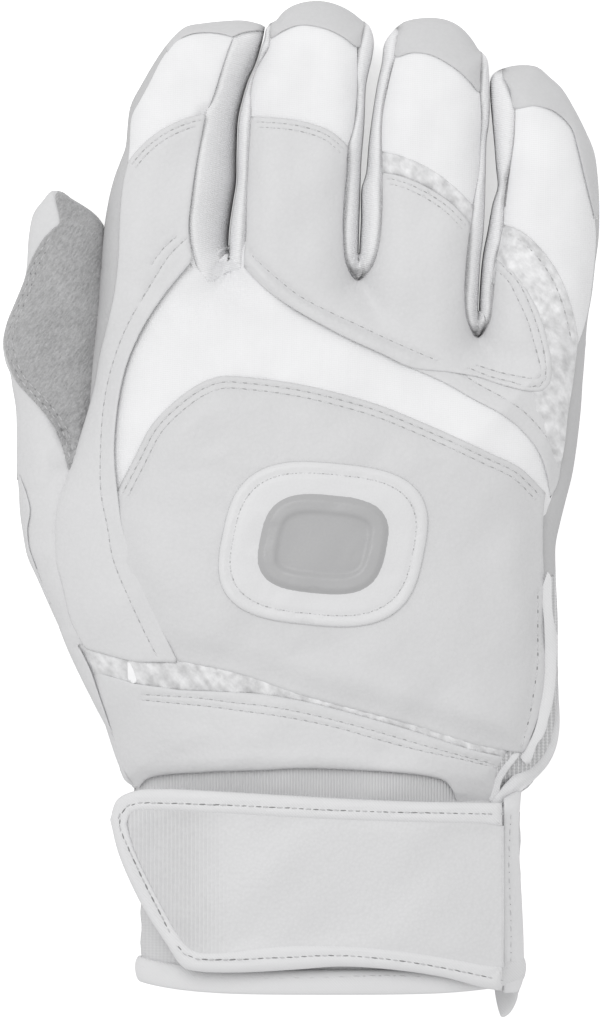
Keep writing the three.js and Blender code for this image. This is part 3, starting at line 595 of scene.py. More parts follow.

# The palm side of each finger. A stall of the same hide, sewn round its edge to the walls and to the cap.
front_ends = {"index": ((100, 268), (228, 300)), "middle": ((229, 300), (358, 300)),
              "ring": ((359, 320), (478, 325)), "little": ((479, 370), (584, 360))}
finger_tips = {"index": (225, 20), "middle": (318, 0.3), "ring": (428, 17), "little": (548, 74)}
for finger, form in fingers.items():
    left, right = front_ends[finger]
    front = patch(
        finger + "_front", [*rims_of(form, left, finger_tips[finger], right), run("rim", right, left)],
        [form, hand], wall=1.2, grain=1.4, floor=0.0,
    )
    made(front, palm_hide, "palm_leather", bends[finger], finger + "_front_leather")

# The walls between the fingers. Each is a band of white diagonal-rib twill that runs down the side of one
# finger, round the crotch and up the next, so the two sides of a gap are one piece for each finger here.
twill = finish("twill", 243, 0.85, [("rib", 0.42, 75, 0.05, 0.08), ("noise", 9, 0, 0.1, 0.05)], 0.25, 0.15)
wall_lines = {
    "index_right": curve([(263, 31), (248, 32), (240, 34), (233, 38), (228.6, 50), (221, 73), (214, 96),
                          (206.6, 111), (205, 122), (201, 142), (196, 172), (192.3, 201), (190, 220),
                          (191, 240), (194.2, 258), (200, 271.7), (210.5, 282), (220, 278.5),
                          (228.6, 273.6)]),
    "middle_left": curve([(270.5, 23), (270.4, 38), (268.8, 48), (255.4, 71), (251.4, 88), (251.4, 105),
                          (250.6, 134), (249.3, 172), (246.8, 210), (245.9, 230), (243.9, 252.6),
                          (242, 269.8), (235, 272.5), (228.6, 273.6)]),
    "middle_right": curve([(365.5, 21), (362, 34), (358.8, 48), (356, 71), (356.8, 88), (356, 111),
                           (352, 130), (348.2, 145), (347.3, 172), (345.4, 201), (343.4, 230),
                           (344.4, 252.6), (348.2, 268), (356.8, 281.3)]),
    "ring_left": curve([(397, 27), (396.5, 40), (395, 57), (391, 70), (385.5, 96), (382.6, 122.5),
                        (382, 157), (382, 191), (381.7, 226), (376.9, 256.4), (368.3, 273.6),
                        (356.8, 281.3)]),
    "ring_right": curve([(482, 51.5), (480.2, 76), (479.5, 94), (480.5, 110), (481, 125), (479.7, 143),
                         (478.6, 169), (475.2, 190), (472, 207), (470, 215), (468.2, 239), (465.9, 277),
                         (464, 302), (465, 314), (468.7, 329), (477.3, 338.5)]),
    "little_left": curve([(501.3, 69.8), (509.9, 90), (514.7, 107), (513.7, 134), (510.8, 162), (506, 184),
                          (503.2, 210), (502.5, 226), (501.6, 243), (497.4, 257), (495.5, 270),
                          (492.6, 287), (491.3, 314), (487.8, 325.5), (477.3, 338.5)]),
}
wall_ends = {"index_right": ((264, 28), (228, 276)), "middle_left": ((268, 24.5), (229, 276)),
             "middle_right": ((366, 21.5), (358, 283)), "ring_left": ((395, 27), (359, 283)),
             "ring_right": ((483, 51), (478, 341)), "little_left": ((499, 69), (479, 341))}
wall_thread = finish("wall_thread", 232, 0.8, [("rib", 0.12, 60, 0.03, 0.15)], 0.3)


small_batch = 500


def carried(xy, line, values):
    """Values known along a line, carried out to the points round it."""
    out = np.empty(len(xy))
    for first in range(0, len(xy), small_batch):
        far = ((xy[first : first + small_batch, None, :] - line) ** 2).sum(2)
        weight = 1 / (far + 0.08) ** 3
        out[first : first + small_batch] = (weight * values).sum(1) / weight.sum(1)
    return out


wall_lift = 0.25
crease_drop, crease_width = 0.8, 0.45  # the seam lies in a crease
turned_under = 1.1  # how far a wall drops past the side of its finger
crotch_reach, rim_gap = 6, 0.3  # near the crotch the rim of the wall comes up to its seam


def plump(seam, rim, on, fullness):
    """A wall filled out like a cushion between the seam and the side of the finger."""
    seam_top, rim_top, seam_reach = top_of(seam, on), top_of(rim, on), away(seam, rim)
    closing = ease((crotch_reach - np.linalg.norm(rim - rim[-1], axis=1)) / 3.5)
    rim_top = rim_top + closing * (carried(rim, seam, seam_top) - rim_gap - rim_top)

    def filled(xy, z):
        from_rim, from_seam = away(xy, rim), away(xy, seam)
        reach = carried(xy, seam, seam_reach) + 0.01
        low, high = carried(xy, rim, rim_top), carried(xy, seam, seam_top)
        full = low + (high - low) * swell(from_rim / reach, fullness)
        crease = crease_drop * np.exp(-((from_seam / crease_width) ** 2))
        return full + wall_lift - crease - turned_under * ease((from_rim - reach) / 0.6)

    return filled


def stitch_tree():
    """Thread laid along rows: one small capsule for each stitch."""
    tree = bpy.data.node_groups.new("stitches", "GeometryNodeTree")
    sockets = {}
    for label, kind in (("Rows", "Geometry"), ("Pitch", "Float"), ("Length", "Float"), ("Thickness", "Float"),
                        ("Unevenness", "Float"), ("Between stitches", "Bool"), ("Thread", "Material")):
        socket = tree.interface.new_socket(label, in_out="INPUT", socket_type="NodeSocket" + kind)
        sockets[label] = socket.identifier
    tree.interface.new_socket("Stitches", in_out="OUTPUT", socket_type="NodeSocketGeometry")
    given, done = node(tree, "NodeGroupInput"), node(tree, "NodeGroupOutput")
    path = node(tree, "GeometryNodeMeshToCurve")
    spaced = node(tree, "GeometryNodeResampleCurve", mode="LENGTH")
    capsule = node(tree, "GeometryNodeMeshUVSphere", {"Segments": 6, "Rings": 5, "Radius": 0.5})
    size = node(tree, "ShaderNodeCombineXYZ")
    drawn = node(tree, "GeometryNodeTransform")
    tangent = node(tree, "GeometryNodeInputTangent")
    stray = node(tree, "FunctionNodeRandomValue", {"Min": (-1, -1, -1), "Seed": 7}, data_type="FLOAT_VECTOR")
    strayed = node(tree, "ShaderNodeVectorMath", operation="MULTIPLY_ADD")
    turned = node(tree, "FunctionNodeAlignRotationToVector", axis="X")
    direction = {"Name": "along_row"}
    kept = node(tree, "GeometryNodeStoreNamedAttribute", direction, data_type="FLOAT_VECTOR")
    ahead = node(tree, "GeometryNodeInputNamedAttribute", direction, data_type="FLOAT_VECTOR")
    joined_up = node(tree, "GeometryNodeCurveToMesh")
    gaps = node(tree, "GeometryNodeMeshToPoints", mode="EDGES")
    chosen = node(tree, "GeometryNodeSwitch", input_type="GEOMETRY")
    set_out = node(tree, "GeometryNodeInstanceOnPoints")
    real = node(tree, "GeometryNodeRealizeInstances")
    smoothed = node(tree, "GeometryNodeSetShadeSmooth")
    coloured = node(tree, "GeometryNodeSetMaterial")
    wire(
        tree,
        (given, "Rows", path, "Mesh"), (path, "Curve", spaced, "Curve"), (given, "Pitch", spaced, "Length"),
        (given, "Length", size, "X"), (given, "Thickness", size, "Y"), (given, "Thickness", size, "Z"),
        (size, "Vector", drawn, "Scale"), (capsule, "Mesh", drawn, "Geometry"), (stray, "Value", strayed, 0),
        (given, "Unevenness", strayed, 1), (spaced, "Curve", kept, "Geometry"),
        (tangent, "Tangent", kept, "Value"), (ahead, "Attribute", strayed, 2),
        (strayed, "Vector", turned, "Vector"), (kept, "Geometry", joined_up, "Curve"),
        (joined_up, "Mesh", gaps, "Mesh"), (given, "Between stitches", chosen, "Switch"),
        (kept, "Geometry", chosen, "False"), (gaps, "Points", chosen, "True"),
        (chosen, "Output", set_out, "Points"), (drawn, "Geometry", set_out, "Instance"),
        (turned, "Rotation", set_out, "Rotation"), (set_out, "Instances", real, "Geometry"),
        (real, "Geometry", smoothed, "Geometry"), (smoothed, "Geometry", coloured, "Geometry"),
        (given, "Thread", coloured, "Material"), (coloured, "Geometry", done, "Stitches"),
    )
    return tree, sockets


thread = finish("thread", 222, 0.7, [("rib", 0.12, 60, 0.03, 0.15)], 0.3, 0.1)
# The needle holes are small dark capsules: their dark tone is painted shade, not a colour of the leather.
needle_hole = finish("needle_hole", 176, 0.9, [("noise", 0.3, 0, 0.02, 0.3)], 0.1)
stitch_nodes, stitch_sockets = stitch_tree()
hole_thickness, hole_sink, unevenness = 0.34, 0.07, 0.09


def sew(name, bodies, lines=None, pitch=2.3, length=1.2, thickness=0.34, cotton=thread, lift=0.02,
        hole=1.15, dent=needle_hole):
    """A piece's stitches, in its own grooves or along lines that are given, and between them the needle
    holes, drawn as dark capsules of painted shade.
    """
    rows = [row for row in (stitch_rows[name] if lines is None else lines) if len(row) > 2]
    for label, between, long, thick, filled, up in (
            ("_stitches", False, length, thickness, cotton, lift),
            ("_needle_holes", True, hole, hole_thickness, dent, lift - hole_sink)):
        if not long:
            continue
        points, edges = [], []
        for row in rows:
            start = len(points)
            points += list(np.column_stack([row, surfaces[name](row) + up]) * 0.001)
            edges += [(start + k, start + k + 1) for k in range(len(row) - 1)]
        mesh = bpy.data.meshes.new(name + label + "_rows")
        mesh.from_pydata([tuple(p) for p in points], edges, [])
        laid = bpy.data.objects.new(name + label + "_rows", mesh)
        bpy.context.scene.collection.objects.link(laid)
        modifier = laid.modifiers.new("stitches", "NODES")
        modifier.node_group = stitch_nodes
        values = {"Pitch": pitch * 0.001, "Length": long * 0.001, "Thickness": thick * 0.001,
                  "Unevenness": unevenness, "Between stitches": between, "Thread": filled}
        for socket, value in values.items():
            modifier[stitch_sockets[socket]] = value
        laid.update_tag()
        shown = laid.evaluated_get(bpy.context.evaluated_depsgraph_get())
        stitches = bpy.data.objects.new(name + label, bpy.data.meshes.new_from_object(shown))
        bpy.context.scene.collection.objects.link(stitches)
        bpy.data.objects.remove(laid)
        made(stitches, filled, "binding_tape", bodies)


gap_of = {"index_right": "index_middle", "middle_left": "index_middle", "middle_right": "middle_ring",
          "ring_left": "middle_ring", "ring_right": "ring_little", "little_left": "ring_little"}
for side, seam in wall_lines.items():
    finger, hand_side = side.split("_")
    form = fingers[finger]
    rim = along(form, *wall_ends[side])
    faces_left = hand_side == "left"
    inward = 3 if faces_left else -3
    wall_node = finger + ("_outer_wall" if faces_left else "_inner_wall")
    fullness = 1.35 if side == "index_right" else 3.0
    wall = patch(
        side + "_wall", [(rim, "free"), (moved(seam, inward)[::-1], "free")], [form, hand],
        wall=0.5, grain=0.8, shape=plump(seam, rim, [form, hand], fullness),
    )
    made(wall, twill, "stretch_knit", bends[finger], wall_node, "fourchette_" + gap_of[side])
    sew(side + "_wall", bends[finger], [seam[2:]], pitch=0.62, length=0.42, thickness=0.3,
        cotton=wall_thread, lift=0.1, hole=0)


roll_rise, roll_width = 0.45, 1.3


def bridging(sides, edge):
    """The wall's roll round the crotch, from one finger's side to the next."""
    def laid(xy, z):
        across = [surfaces[side + "_wall"](xy) for side in sides]
        return np.max(across, axis=0) + roll_rise * swell(depth(xy, edge) / roll_width, 2) - wall_lift
    return laid


crotches = {
    "index_middle": (("index_right", "middle_left"), [
        (228, 254), (233, 258), (237, 264), (238, 269), (233, 272), (228, 273.5), (220, 277.5), (214, 278),
        (211, 272), (216, 264), (223, 257)]),
    "middle_ring": (("middle_right", "ring_left"), [
        (358.5, 253), (364, 258), (367, 265), (366, 271), (362, 275.5), (357.5, 279), (353, 275),
        (349.5, 267), (352.5, 259)]),
    "ring_little": (("ring_right", "little_left"), [
        (478, 311), (483, 316), (486, 322), (485, 328), (481, 333), (477.3, 336.5), (472.5, 332),
        (469, 325), (472, 317)]),
}
for pair, (sides, points) in crotches.items():
    edge = curve(points, 0.5, closed=True)
    crotch = patch(pair + "_crotch", [(edge, "free")], [hand], wall=0.5, grain=0.5,
                   shape=bridging(sides, edge))
    made(crotch, twill, "stretch_knit", "hand", "fourchette_" + pair)

# The lining of the gaps. A narrow strip of the same twill is caught in each wall's seam and in each
# crotch's, and lies hidden under the leather's edge, so no seam gapes when it is seen from the fingertips.
lining_sink = -0.5
lining_ends = {"index": 122, "middle": 124, "ring": 165, "little": 205}  # rows where the stretch backs begin
bare_corners = {"index_middle": 4, "middle_ring": 2, "ring_little": 2}  # a crotch's corners without leather
for side, seam in wall_lines.items():
    finger = side.split("_")[0]
    toward = -1 if side.endswith("right") else 1
    hidden = seam[seam[:, 1] < up_at(lining_ends[finger])]
    lining = patch(
        side + "_lining", [(moved(hidden, 0.5 * toward), "free"), (moved(hidden, 5 * toward)[::-1], "free")],
        [fingers[finger], hand], out=lining_sink, wall=0.4,
    )
    made(lining, twill, "stretch_knit", bends[finger])
for pair, (sides, points) in crotches.items():
    end = place(points)[bare_corners[pair] : -1]
    outward = end - place(points).mean(0)
    outward /= np.linalg.norm(outward, axis=1)[:, None]
    lining = patch(
        pair + "_lining", [(end + 0.1 * outward, "free"), ((end + 1.1 * outward)[::-1], "free")],
        [hand] + [fingers[side.split("_")[0]] for side in sides], out=lining_sink, wall=0.4, grain=0.6,
    )
    made(lining, twill, "stretch_knit", "hand")

# The stretch backs. White power-stretch knit covers the end half of each finger, sewn to the walls at its
# sides and tucked under the leather below and the cap above.
knit_layers = [("rib", (0.43, 100, 100), 84, 0.02, 0.03), ("rib", 0.5, 0, 0.01, 0.015),
               ("noise", 12, 0, 0.3, 0.12), ("noise", 5, 20, 0.08, 0.03)]
knit = finish("stretch_knit", 250, 0.9, knit_layers, 0.2, 0.2)
backs = {
    "index": [
        run("butt", (234, 36), (228.6, 50), (221, 73), (214, 96), (206, 115)),
        run("tuck", (206, 115), (202, 143), (186, 150), (160, 165), (140, 180), (128, 190)),
        (curve([(128, 190), (128.2, 164)] + strip_points[8:1:-1] + [(176, 40), (184, 31)]), "butt"),
        run("tuck", (184, 31), (208, 26), (236, 30)),
    ],
    "middle": [
        run("butt", (270.5, 34), (268.8, 48), (256, 70), (251.4, 88), (251.4, 117), (250, 147)),
        run("tuck", (249, 147), (300, 152), (330, 162), (346, 172)),
        run("butt", (346, 172), (348, 147), (353, 130), (357, 91), (357, 42)),
        run("tuck", (357, 42), (343, 30), (326, 22), (300, 18), (271, 30)),
    ],
    "ring": [
        run("butt", (397, 50), (395, 58), (389, 82), (382, 121), (383, 186)),
        run("tuck", (383, 186), (404, 190), (430, 202), (450, 216), (469, 232)),
        run("butt", (469, 232), (472, 207), (475.5, 190), (479, 169), (480, 143), (481, 122), (479.5, 94),
                    (477, 84)),
        run("tuck", (477, 84), (471, 76), (454, 61), (430, 48), (411, 46), (397, 50)),
    ],
    "little": [
        run("butt", (515, 100), (515, 109), (514, 138), (509, 176), (503, 227), (501, 250)),
        run("tuck", (501, 250), (519, 262), (532, 278), (545, 300), (560, 340), (566, 365)),
        run("butt", (566, 365), (574, 352), (584, 327), (590, 301), (596, 243), (595, 219)),
        run("tuck", (598, 219), (590, 184), (582, 147), (577, 128), (560, 110), (536, 98), (515, 100)),
    ],
}
for finger, runs in backs.items():
    back = patch(finger + "_back", runs, [fingers[finger], hand], out=0.3, wall=0.7, grain=0.9)
    made(back, knit, "stretch_knit", bends[finger], finger + "_stretch_back")

# The finger caps. A grey leather tip folded over the end of each finger and lapped on to its back.
cap_hide = finish("cap_hide", 214, 0.6, hide_layers)
caps = {
    "index": ((164, 46), (264, 29), [(264, 30.5), (256, 31), (247.8, 31.8), (240, 34), (232.5, 37.5),
            (225, 35.2), (217, 33.7), (201.8, 33), (190, 34.8), (180, 39.5), (172, 47), (167, 53)]),
    "middle": ((268, 24.5), (365.5, 21), [(365.5, 21), (362, 34), (359, 48), (343, 38), (326, 30),
            (300, 26), (284, 31), (270.5, 38.5), (270.5, 26)]),
    "ring": ((397, 27), (481.5, 51), [(482, 51.5), (480.3, 72), (479, 93), (471, 84), (454, 69), (430, 56),
            (411, 54), (395, 57.5), (396.8, 38)]),
    "little": ((500.5, 69.5), (600, 217), [(595, 219), (586, 184), (577, 147), (571, 128), (554, 112),
            (534, 107), (514, 109), (509.5, 90), (503, 77)]),
}
for finger, (start, end, seam) in caps.items():
    form = fingers[finger]
    cap = patch(finger + "_cap", [*rims_of(form, start, finger_tips[finger], end), run("butt", *seam)],
                [form], out=0.45, grain=0.8)
    made(cap, cap_hide, "cap_leather", bends[finger], finger + "_tip_cap")

# The thumb. The suede of the palm side turns up to face the viewer, with a double row of needle holes round
# its edge, and a pale leather back shows as a sliver beyond it and closes the underside.
suede = finish("suede", 199, 1.0, [("noise", (0.4, 1.3, 1.0), -38, 0.3, 0.55), ("noise", 5, 0, 0.3, 0.2),
                                   ("noise", 0.4, 0, 0.1, 0.35)], 0.1, 0.5)
suede_edge = curve([(58, 190), (55, 194), (56, 203), (58.5, 212), (59.5, 223), (53.6, 228), (44.6, 236.6),
                    (35.7, 250), (27.9, 265.6), (22.3, 283.5), (13.4, 305.8), (6, 324), (3, 343), (8, 363),
                    (15, 380), (43, 411), (58, 432), (65, 456), (69, 471), (73, 478)])
suede_right = curve([(73, 478), (84, 470), (98, 440), (103, 411), (107, 376)])


def napped(xy, z):
    """The suede has crumpled where its lower end is sewn down."""
    u, v = xy.T
    crumpling = ease((up_at(385) - v) / 9) * ease(away(xy, suede_right) / 2)
    waves = 0.22 * np.sin(4.1 * u + 1.9 * v + np.sin(1.3 * v)) + 0.2 * np.sin(3.2 * v - 2.1 * u)
    return z + crumpling * waves


thumb_palm = patch(
    "thumb_suede",
    [(suede_edge, "lap"), (suede_right, "tuck"), *rims_of(thumb, (109, 376), (58, 190))],
    [thumb], out=0.7, wall=0.9, grain=0.6, shape=napped,
    rows=[(suede_edge[14:-6], 1.0), (suede_edge[16:-8], 2.0)],
    folds=[(curve([(40, 400), (58, 412), (76, 408)]), 0.35, 0.7),
           (curve([(50, 418), (64, 424), (78, 418)]), 0.35, 0.6),
           (curve([(58, 434), (68, 440), (78, 432)]), 0.3, 0.6),
           (curve([(20, 330), (50, 322), (86, 300)]), 0.25, 1.6),
           (curve([(30, 365), (60, 360), (84, 345)]), 0.3, 1.3),
           (curve([(62, 250), (75, 262), (92, 262)]), 0.25, 1.0)],
)
made(thumb_palm, suede, "suede", bends["thumb"], "thumb_palm_leather")
suede_thread = finish("suede_thread", 198, 0.9, [("noise", 1.0, 0, 0.05, 0.3)], 0.2)
# Deeper needle holes get a darker tone of painted shade.
deep_hole = finish("deep_hole", 140, 0.9, [("noise", 0.3, 0, 0.02, 0.3)], 0.1)
sew("thumb_suede", bends["thumb"], cotton=suede_thread, pitch=2.4, length=1.5, thickness=0.3, hole=0.6,
    dent=deep_hole)
light_hide = finish("light_hide", 222, 0.55, hide_layers)
thumb_sliver = patch(
    "thumb_back",
    [*rims_of(thumb, (62, 191), (26, 265), (9, 372)), run("tuck", (9, 372), (22, 374)),
     run("tuck", (22, 374), (18, 350), (20, 322), (36, 285), (56, 250), (72, 230), (70, 204), (62, 191))],
    [thumb], wall=0.9, grain=1.0,
)
made(thumb_sliver, light_hide, "back_leather", "thumb", "thumb_back_leather")
thumb_under = patch(
    "thumb_underside",
    [*rims_of(thumb, (16, 469), (2, 343), (51, 190), (106, 268), (85, 411)),
     run("rim", (85, 411), (80, 470), (16, 480))],
    [thumb], wall=1.0, grain=1.4, floor=0.0,
)
made(thumb_under, light_hide, "back_leather", bends["thumb"], "thumb_back_leather")
side_fold = curve([(79, 645), (91, 669.6), (97, 686.8), (108, 719.5), (117, 747), (122, 765), (128, 777),
                   (137, 787)])


def side_lift(xy):
    """The thumb's base runs down the side as a narrow fold over the gauntlet."""
    return 1.05 * ease((up_at(612) - xy[:, 1]) / 8)


thumb_base = patch(
    "thumb_base",
    [*rims_of(thumb, (9, 368), (16, 469), (27, 557), (58, 626)), *rims_of(hand, (60, 634), (134, 789)),
     (side_fold[::-1], "lap"),
     run("tuck", (79, 645), (92, 640), (82, 615), (70, 582), (62, 546), (66, 516), (78, 485), (84, 462)),
     run("tuck", (84, 462), (66, 432), (50, 405), (24, 375), (9, 368))],
    [thumb, hand], out=side_lift, wall=1.0, grain=1.0,
    folds=[(curve([(30, 420), (38, 450), (40, 480)]), 0.3, 1.6),
           (curve([(58, 470), (46, 500), (42, 540)]), -0.4, 1.8)],
)
made(thumb_base, light_hide, "back_leather", bends["thumb"], "thumb_base_panel")
edge_inner = curve([(19, 475), (26.8, 494.4), (30.4, 511), (27.6, 529), (29, 546.8), (34, 562), (42, 585),
                    (50, 604)])
edge_strip = patch(
    "side_edge_strip", [*rims_of(thumb, (16, 472), (48, 604)), (edge_inner[::-1], "lap")],
    [thumb, hand], out=0.45, wall=0.5, grain=0.8,
)
made(edge_strip, light_hide, "back_leather", "hand", "thumb_base_panel", "gauntlet_panel")
base_under = patch(
    "thumb_base_underside",
    [*rims_of(thumb, (16, 440), (27, 557), (60, 630)),
     run("rim", (60, 630), (74, 596), (92, 560), (105, 520), (92, 460), (60, 440), (16, 440))],
    [thumb, hand], wall=1.0, grain=1.6, floor=0.15,
)
made(base_under, light_hide, "back_leather", "hand", "palm_leather")

# The flex panel. Fine white stretch knit between the knuckle leather and the pad, laid first so that the
# leather pieces round it lap over its edge.
flex = patch(
    "flex",
    [run("tuck", (206, 262), (245, 240), (300, 300), (343, 320), (412, 350), (473, 380), (519, 408),
                 (550, 440), (560, 470)),
     run("tuck", (560, 470), (556, 500), (540, 520)),
     run("tuck", (540, 520), (488, 475), (380, 430), (300, 408), (221, 400), (160, 445), (136, 500),
                 (126, 540)),
     run("tuck", (126, 540), (104, 500), (100, 452), (104, 408), (114, 369), (130, 333), (152, 298),
                 (180, 266), (206, 262))],
    everything, out=0.1, wall=0.7, grain=1.2,
)
made(flex, knit, "stretch_knit", "hand", "flex_panel")

# The crinkled bands. A strip of glossy film is sewn under the stretch of the ring finger, and a wider one
# runs round the little knuckle and down the side.
# The film's lighter and darker blotches are painted highlights and shade of its crinkles; the same textures
# also raise it into real crinkles.
film_crinkles_and_painted_light = [("noise", (1.8, 3.2, 3.2), 40, 0.3, 0.8), ("cell", 2.3, 20, 0.16, 0.12),
               ("noise", 0.7, 0, 0.05, 0.15)]
film = finish("gloss_film", 236, 0.34, film_crinkles_and_painted_light, specular=0.5, coat=0.25)


def crumpled(xy, z):
    """Film that has creased where the knuckles bend it."""
    u, v = xy.T
    small = 0.07 * np.sin(2.6 * u + 1.3 * v + np.sin(1.4 * v))
    small = small + 0.05 * np.sin(2.2 * v - 1.9 * u + 2 * np.sin(0.9 * u))
    return z + small + 0.07 * np.sin(1.3 * v - 1.1 * u + 2 * np.sin(0.6 * u))


ring_band = patch(
    "ring_band",
    [run("lap", (382, 152), (404, 158), (430, 170), (452, 186), (473, 206)),
     run("butt", (473, 206), (470, 236)),
     run("tuck", (470, 236), (452, 214), (430, 200), (404, 188), (382, 182)),
     run("butt", (382, 182), (382, 152))],
    [hand, ring], out=0.85, wall=0.6, grain=0.6, shape=crumpled,
)
made(ring_band, film, "gloss_strip", "hand", "ring_gloss_band")
little_seam = curve([(503, 225), (519, 231), (538, 247), (558, 275), (571, 308), (578, 338)])
little_band = patch(
    "little_band",
    [(little_seam, "lap"), run("lap", (578, 338), (575, 364), (572, 386), (567, 418), (565, 440),
            (560, 470)),
     run("tuck", (560, 470), (548, 458)),
     run("tuck", (548, 458), (530, 420), (520, 396), (526, 376), (524, 340), (508, 306), (490, 280)),
     run("butt", (490, 280), (498, 250), (503, 225))],
    [hand, little, ring], out=1.0, wall=0.6, grain=0.6, shape=crumpled, rows=[(little_seam, 1.7)],
)
made(little_band, film, "gloss_strip", "hand", "little_gloss_band")
sew("little_band", "hand")

# The index side panel. Light leather from the back of the index finger down the thumb side to the wrist,
# its right edge folded over and sewn down on the flex panel and on the pad.
index_top = curve([(206, 115), (191, 118), (163, 130), (141, 147), (129, 161)])
index_fold = curve([(177, 658), (161, 624), (142, 582), (129, 543), (123, 525), (119, 497), (115, 452),
                    (118, 408), (126, 369), (141, 333), (163, 298), (193, 261)])
index_panel = patch(
    "index_panel",
    [(index_top, "lap"), (curve([(129, 161)] + strip_points[10:]), "lap"),
     run("lap", (71, 465), (60, 493), (53, 516), (52, 546), (62, 582), (71, 619), (80, 638)),
     run("lap", (80, 638), (86, 647.5), (103, 653), (127, 659.5), (140, 661.5), (161, 661.5), (177, 662)),
     (index_fold, "lap"), run("lap", (193, 261), (189, 230), (191, 206), (196, 169), (206, 115))],
    everything, out=1.3, wall=1.0, grain=1.0,
    rows=[(index_top, 1.1), (index_top, 2.2),
          (curve([(186, 240), (170, 256), (152, 284), (126, 330), (111, 372), (104, 408), (101, 463),
                  (102, 495), (108, 525), (114, 559), (129, 596), (147, 635), (157, 654)]), 0),
          (curve([(176, 238), (163, 250), (153, 264)]), 0)],
    folds=[(index_fold, 0.4, 1.2)],
)
made(index_panel, light_hide, "back_leather", bends["index"], "index_side_panel")
sew("index_panel", bends["index"])

# The knuckle panel. Light leather over the middle, ring and little knuckles. Its lower edge is a folded
# strip, which the upper piece laps at the little-finger side.
knuckle_fold = curve([(550, 498), (545, 470), (536, 449), (519, 429), (501, 415), (473, 400), (445, 384),
                      (412, 369), (395, 361)])
fold_row = curve([(250, 254), (258, 262), (268, 271.5), (284, 285), (295, 294), (309, 302.5), (336, 316),
                  (358, 326), (383, 338), (410, 350), (436, 361)])
band_row = curve([(446, 365), (457, 371.6), (478, 385), (502, 398), (523, 412), (541, 431), (548, 440.5)])
knuckle_strip = patch(
    "knuckle_fold_strip",
    [(knuckle_fold, "lap"), run("tuck", (395, 361), (400, 340), (470, 350), (520, 376), (548, 384)),
     run("tuck", (548, 384), (553, 400), (558, 440), (560, 468), (557, 484), (550, 498))],
    everything, out=0.85, wall=0.8, grain=0.9, rows=[(band_row, 0)],
)
made(knuckle_strip, light_hide, "back_leather", "hand", "knuckle_panel")
sew("knuckle_fold_strip", "hand")
knuckle_tops = [curve([(251, 117), (300, 122), (330, 132), (348, 147)]),
                curve([(382, 173), (404, 178), (430, 190), (452, 205), (470, 224)])]
corner_rows = [
    curve([(500, 264), (516.6, 281.5), (524.3, 295), (532, 314), (541.5, 344.8), (544.4, 364), (544.4, 379),
           (539.6, 386), (528, 387), (505, 381), (491.7, 378), (467, 368)]),
    curve([(497, 272), (507, 280), (516.6, 298.8), (527, 321.8), (533, 342.8), (538.7, 364), (539.6, 375.4),
           (535.8, 379.2), (526.2, 378.3), (501.3, 373.5), (476.4, 365.8)]),
]
knuckle = patch(
    "knuckle_panel_leather",
    [(knuckle_tops[0], "lap"),
     run("lap", (348, 147), (344, 195), (343, 238), (347, 267), (357, 281), (371, 269), (379, 245),
                (382, 212), (382, 173)),
     (knuckle_tops[1], "lap"),
     run("lap", (470, 224), (466, 260), (464, 293), (467, 321), (477, 338), (489, 323), (492, 303),
                (496, 260)),
     run("lap", (496, 260), (510, 270), (526, 290), (539, 315), (547, 342), (551, 366), (549, 384),
                (541, 391.5), (528, 392), (505, 387), (478, 378), (450, 373), (412, 368.5), (380, 354),
                (343, 337), (300, 313.5), (284, 303.5), (268, 292), (256, 281), (244, 268)),
     run("lap", (244, 268), (244.5, 252), (246, 243), (247, 195), (251, 117))],
    [hand, middle, ring, little], out=1.35, wall=0.9, grain=1.0,
    rows=[(top, gap) for top in knuckle_tops for gap in (1.1, 2.2)]
    + [(row, 0) for row in [fold_row, *corner_rows]],
    folds=[(curve([(247, 262), (259, 273), (268, 282), (284, 294.5), (300, 305), (343, 328.5), (380, 346),
                   (411, 359)]),
            0.7, 1.0),
           (fold_row, -0.35, 0.7)],
)
made(knuckle, light_hide, "back_leather", "hand", "knuckle_panel")
sew("knuckle_panel_leather", "hand")

# The gauntlet, and the crinkled strip that is sewn between it and the pad. Light leather closes the lower
# hand, and its lower edge is folded under above the ribbed elastic.
gauntlet_hide = finish("gauntlet_hide", 222, 0.55, hide_layers)
gauntlet_rows = [
    curve([(144, 693.7), (169, 695), (200, 697), (235, 701.5), (268, 705), (299, 710.6), (343, 721),
           (374, 729.5), (420, 743), (461, 754.4), (490, 762)]),
    curve([(143.5, 699), (177, 702.3), (210, 705.3), (243, 709.7), (275, 714), (298, 717.8), (340, 727),
           (371, 736), (411, 747), (461, 758), (494, 766)]),
]
gauntlet = patch(
    "gauntlet",
    [run("tuck", (93, 671), (94, 690), (103.5, 720), (112, 747), (119, 766), (126, 780), (138, 789)),
     run("lap", (138, 789), (148, 778), (207, 771), (260, 769), (300, 767), (395, 771), (432, 776),
                (444, 780), (451, 788), (457, 804)),
     run("tuck", (457, 804), (500, 804), (503, 785), (500, 776), (508, 757)),
     run("lap", (508, 757), (470, 748), (408, 728), (330, 706), (300, 699), (260, 692.5), (215, 690),
                (180, 688.5), (166, 686.5), (136, 682.5), (120, 678), (93, 671))],
    [hand], out=0.95, wall=0.9, grain=1.0, rows=[(row, 0) for row in gauntlet_rows],
    folds=[(curve([(150, 768), (207, 761), (300, 758), (408, 764), (480, 774)]), 0.55, 1.9),
           (curve([(170, 735), (260, 742), (340, 752)]), 0.3, 4.0),
           (curve([(130, 700), (150, 740), (160, 765)]), 0.3, 3.0),
           (curve([(380, 752), (440, 766), (480, 770)]), -0.3, 1.4)],
)
made(gauntlet, gauntlet_hide, "back_leather", "hand", "gauntlet_panel")
sew("gauntlet", "hand")
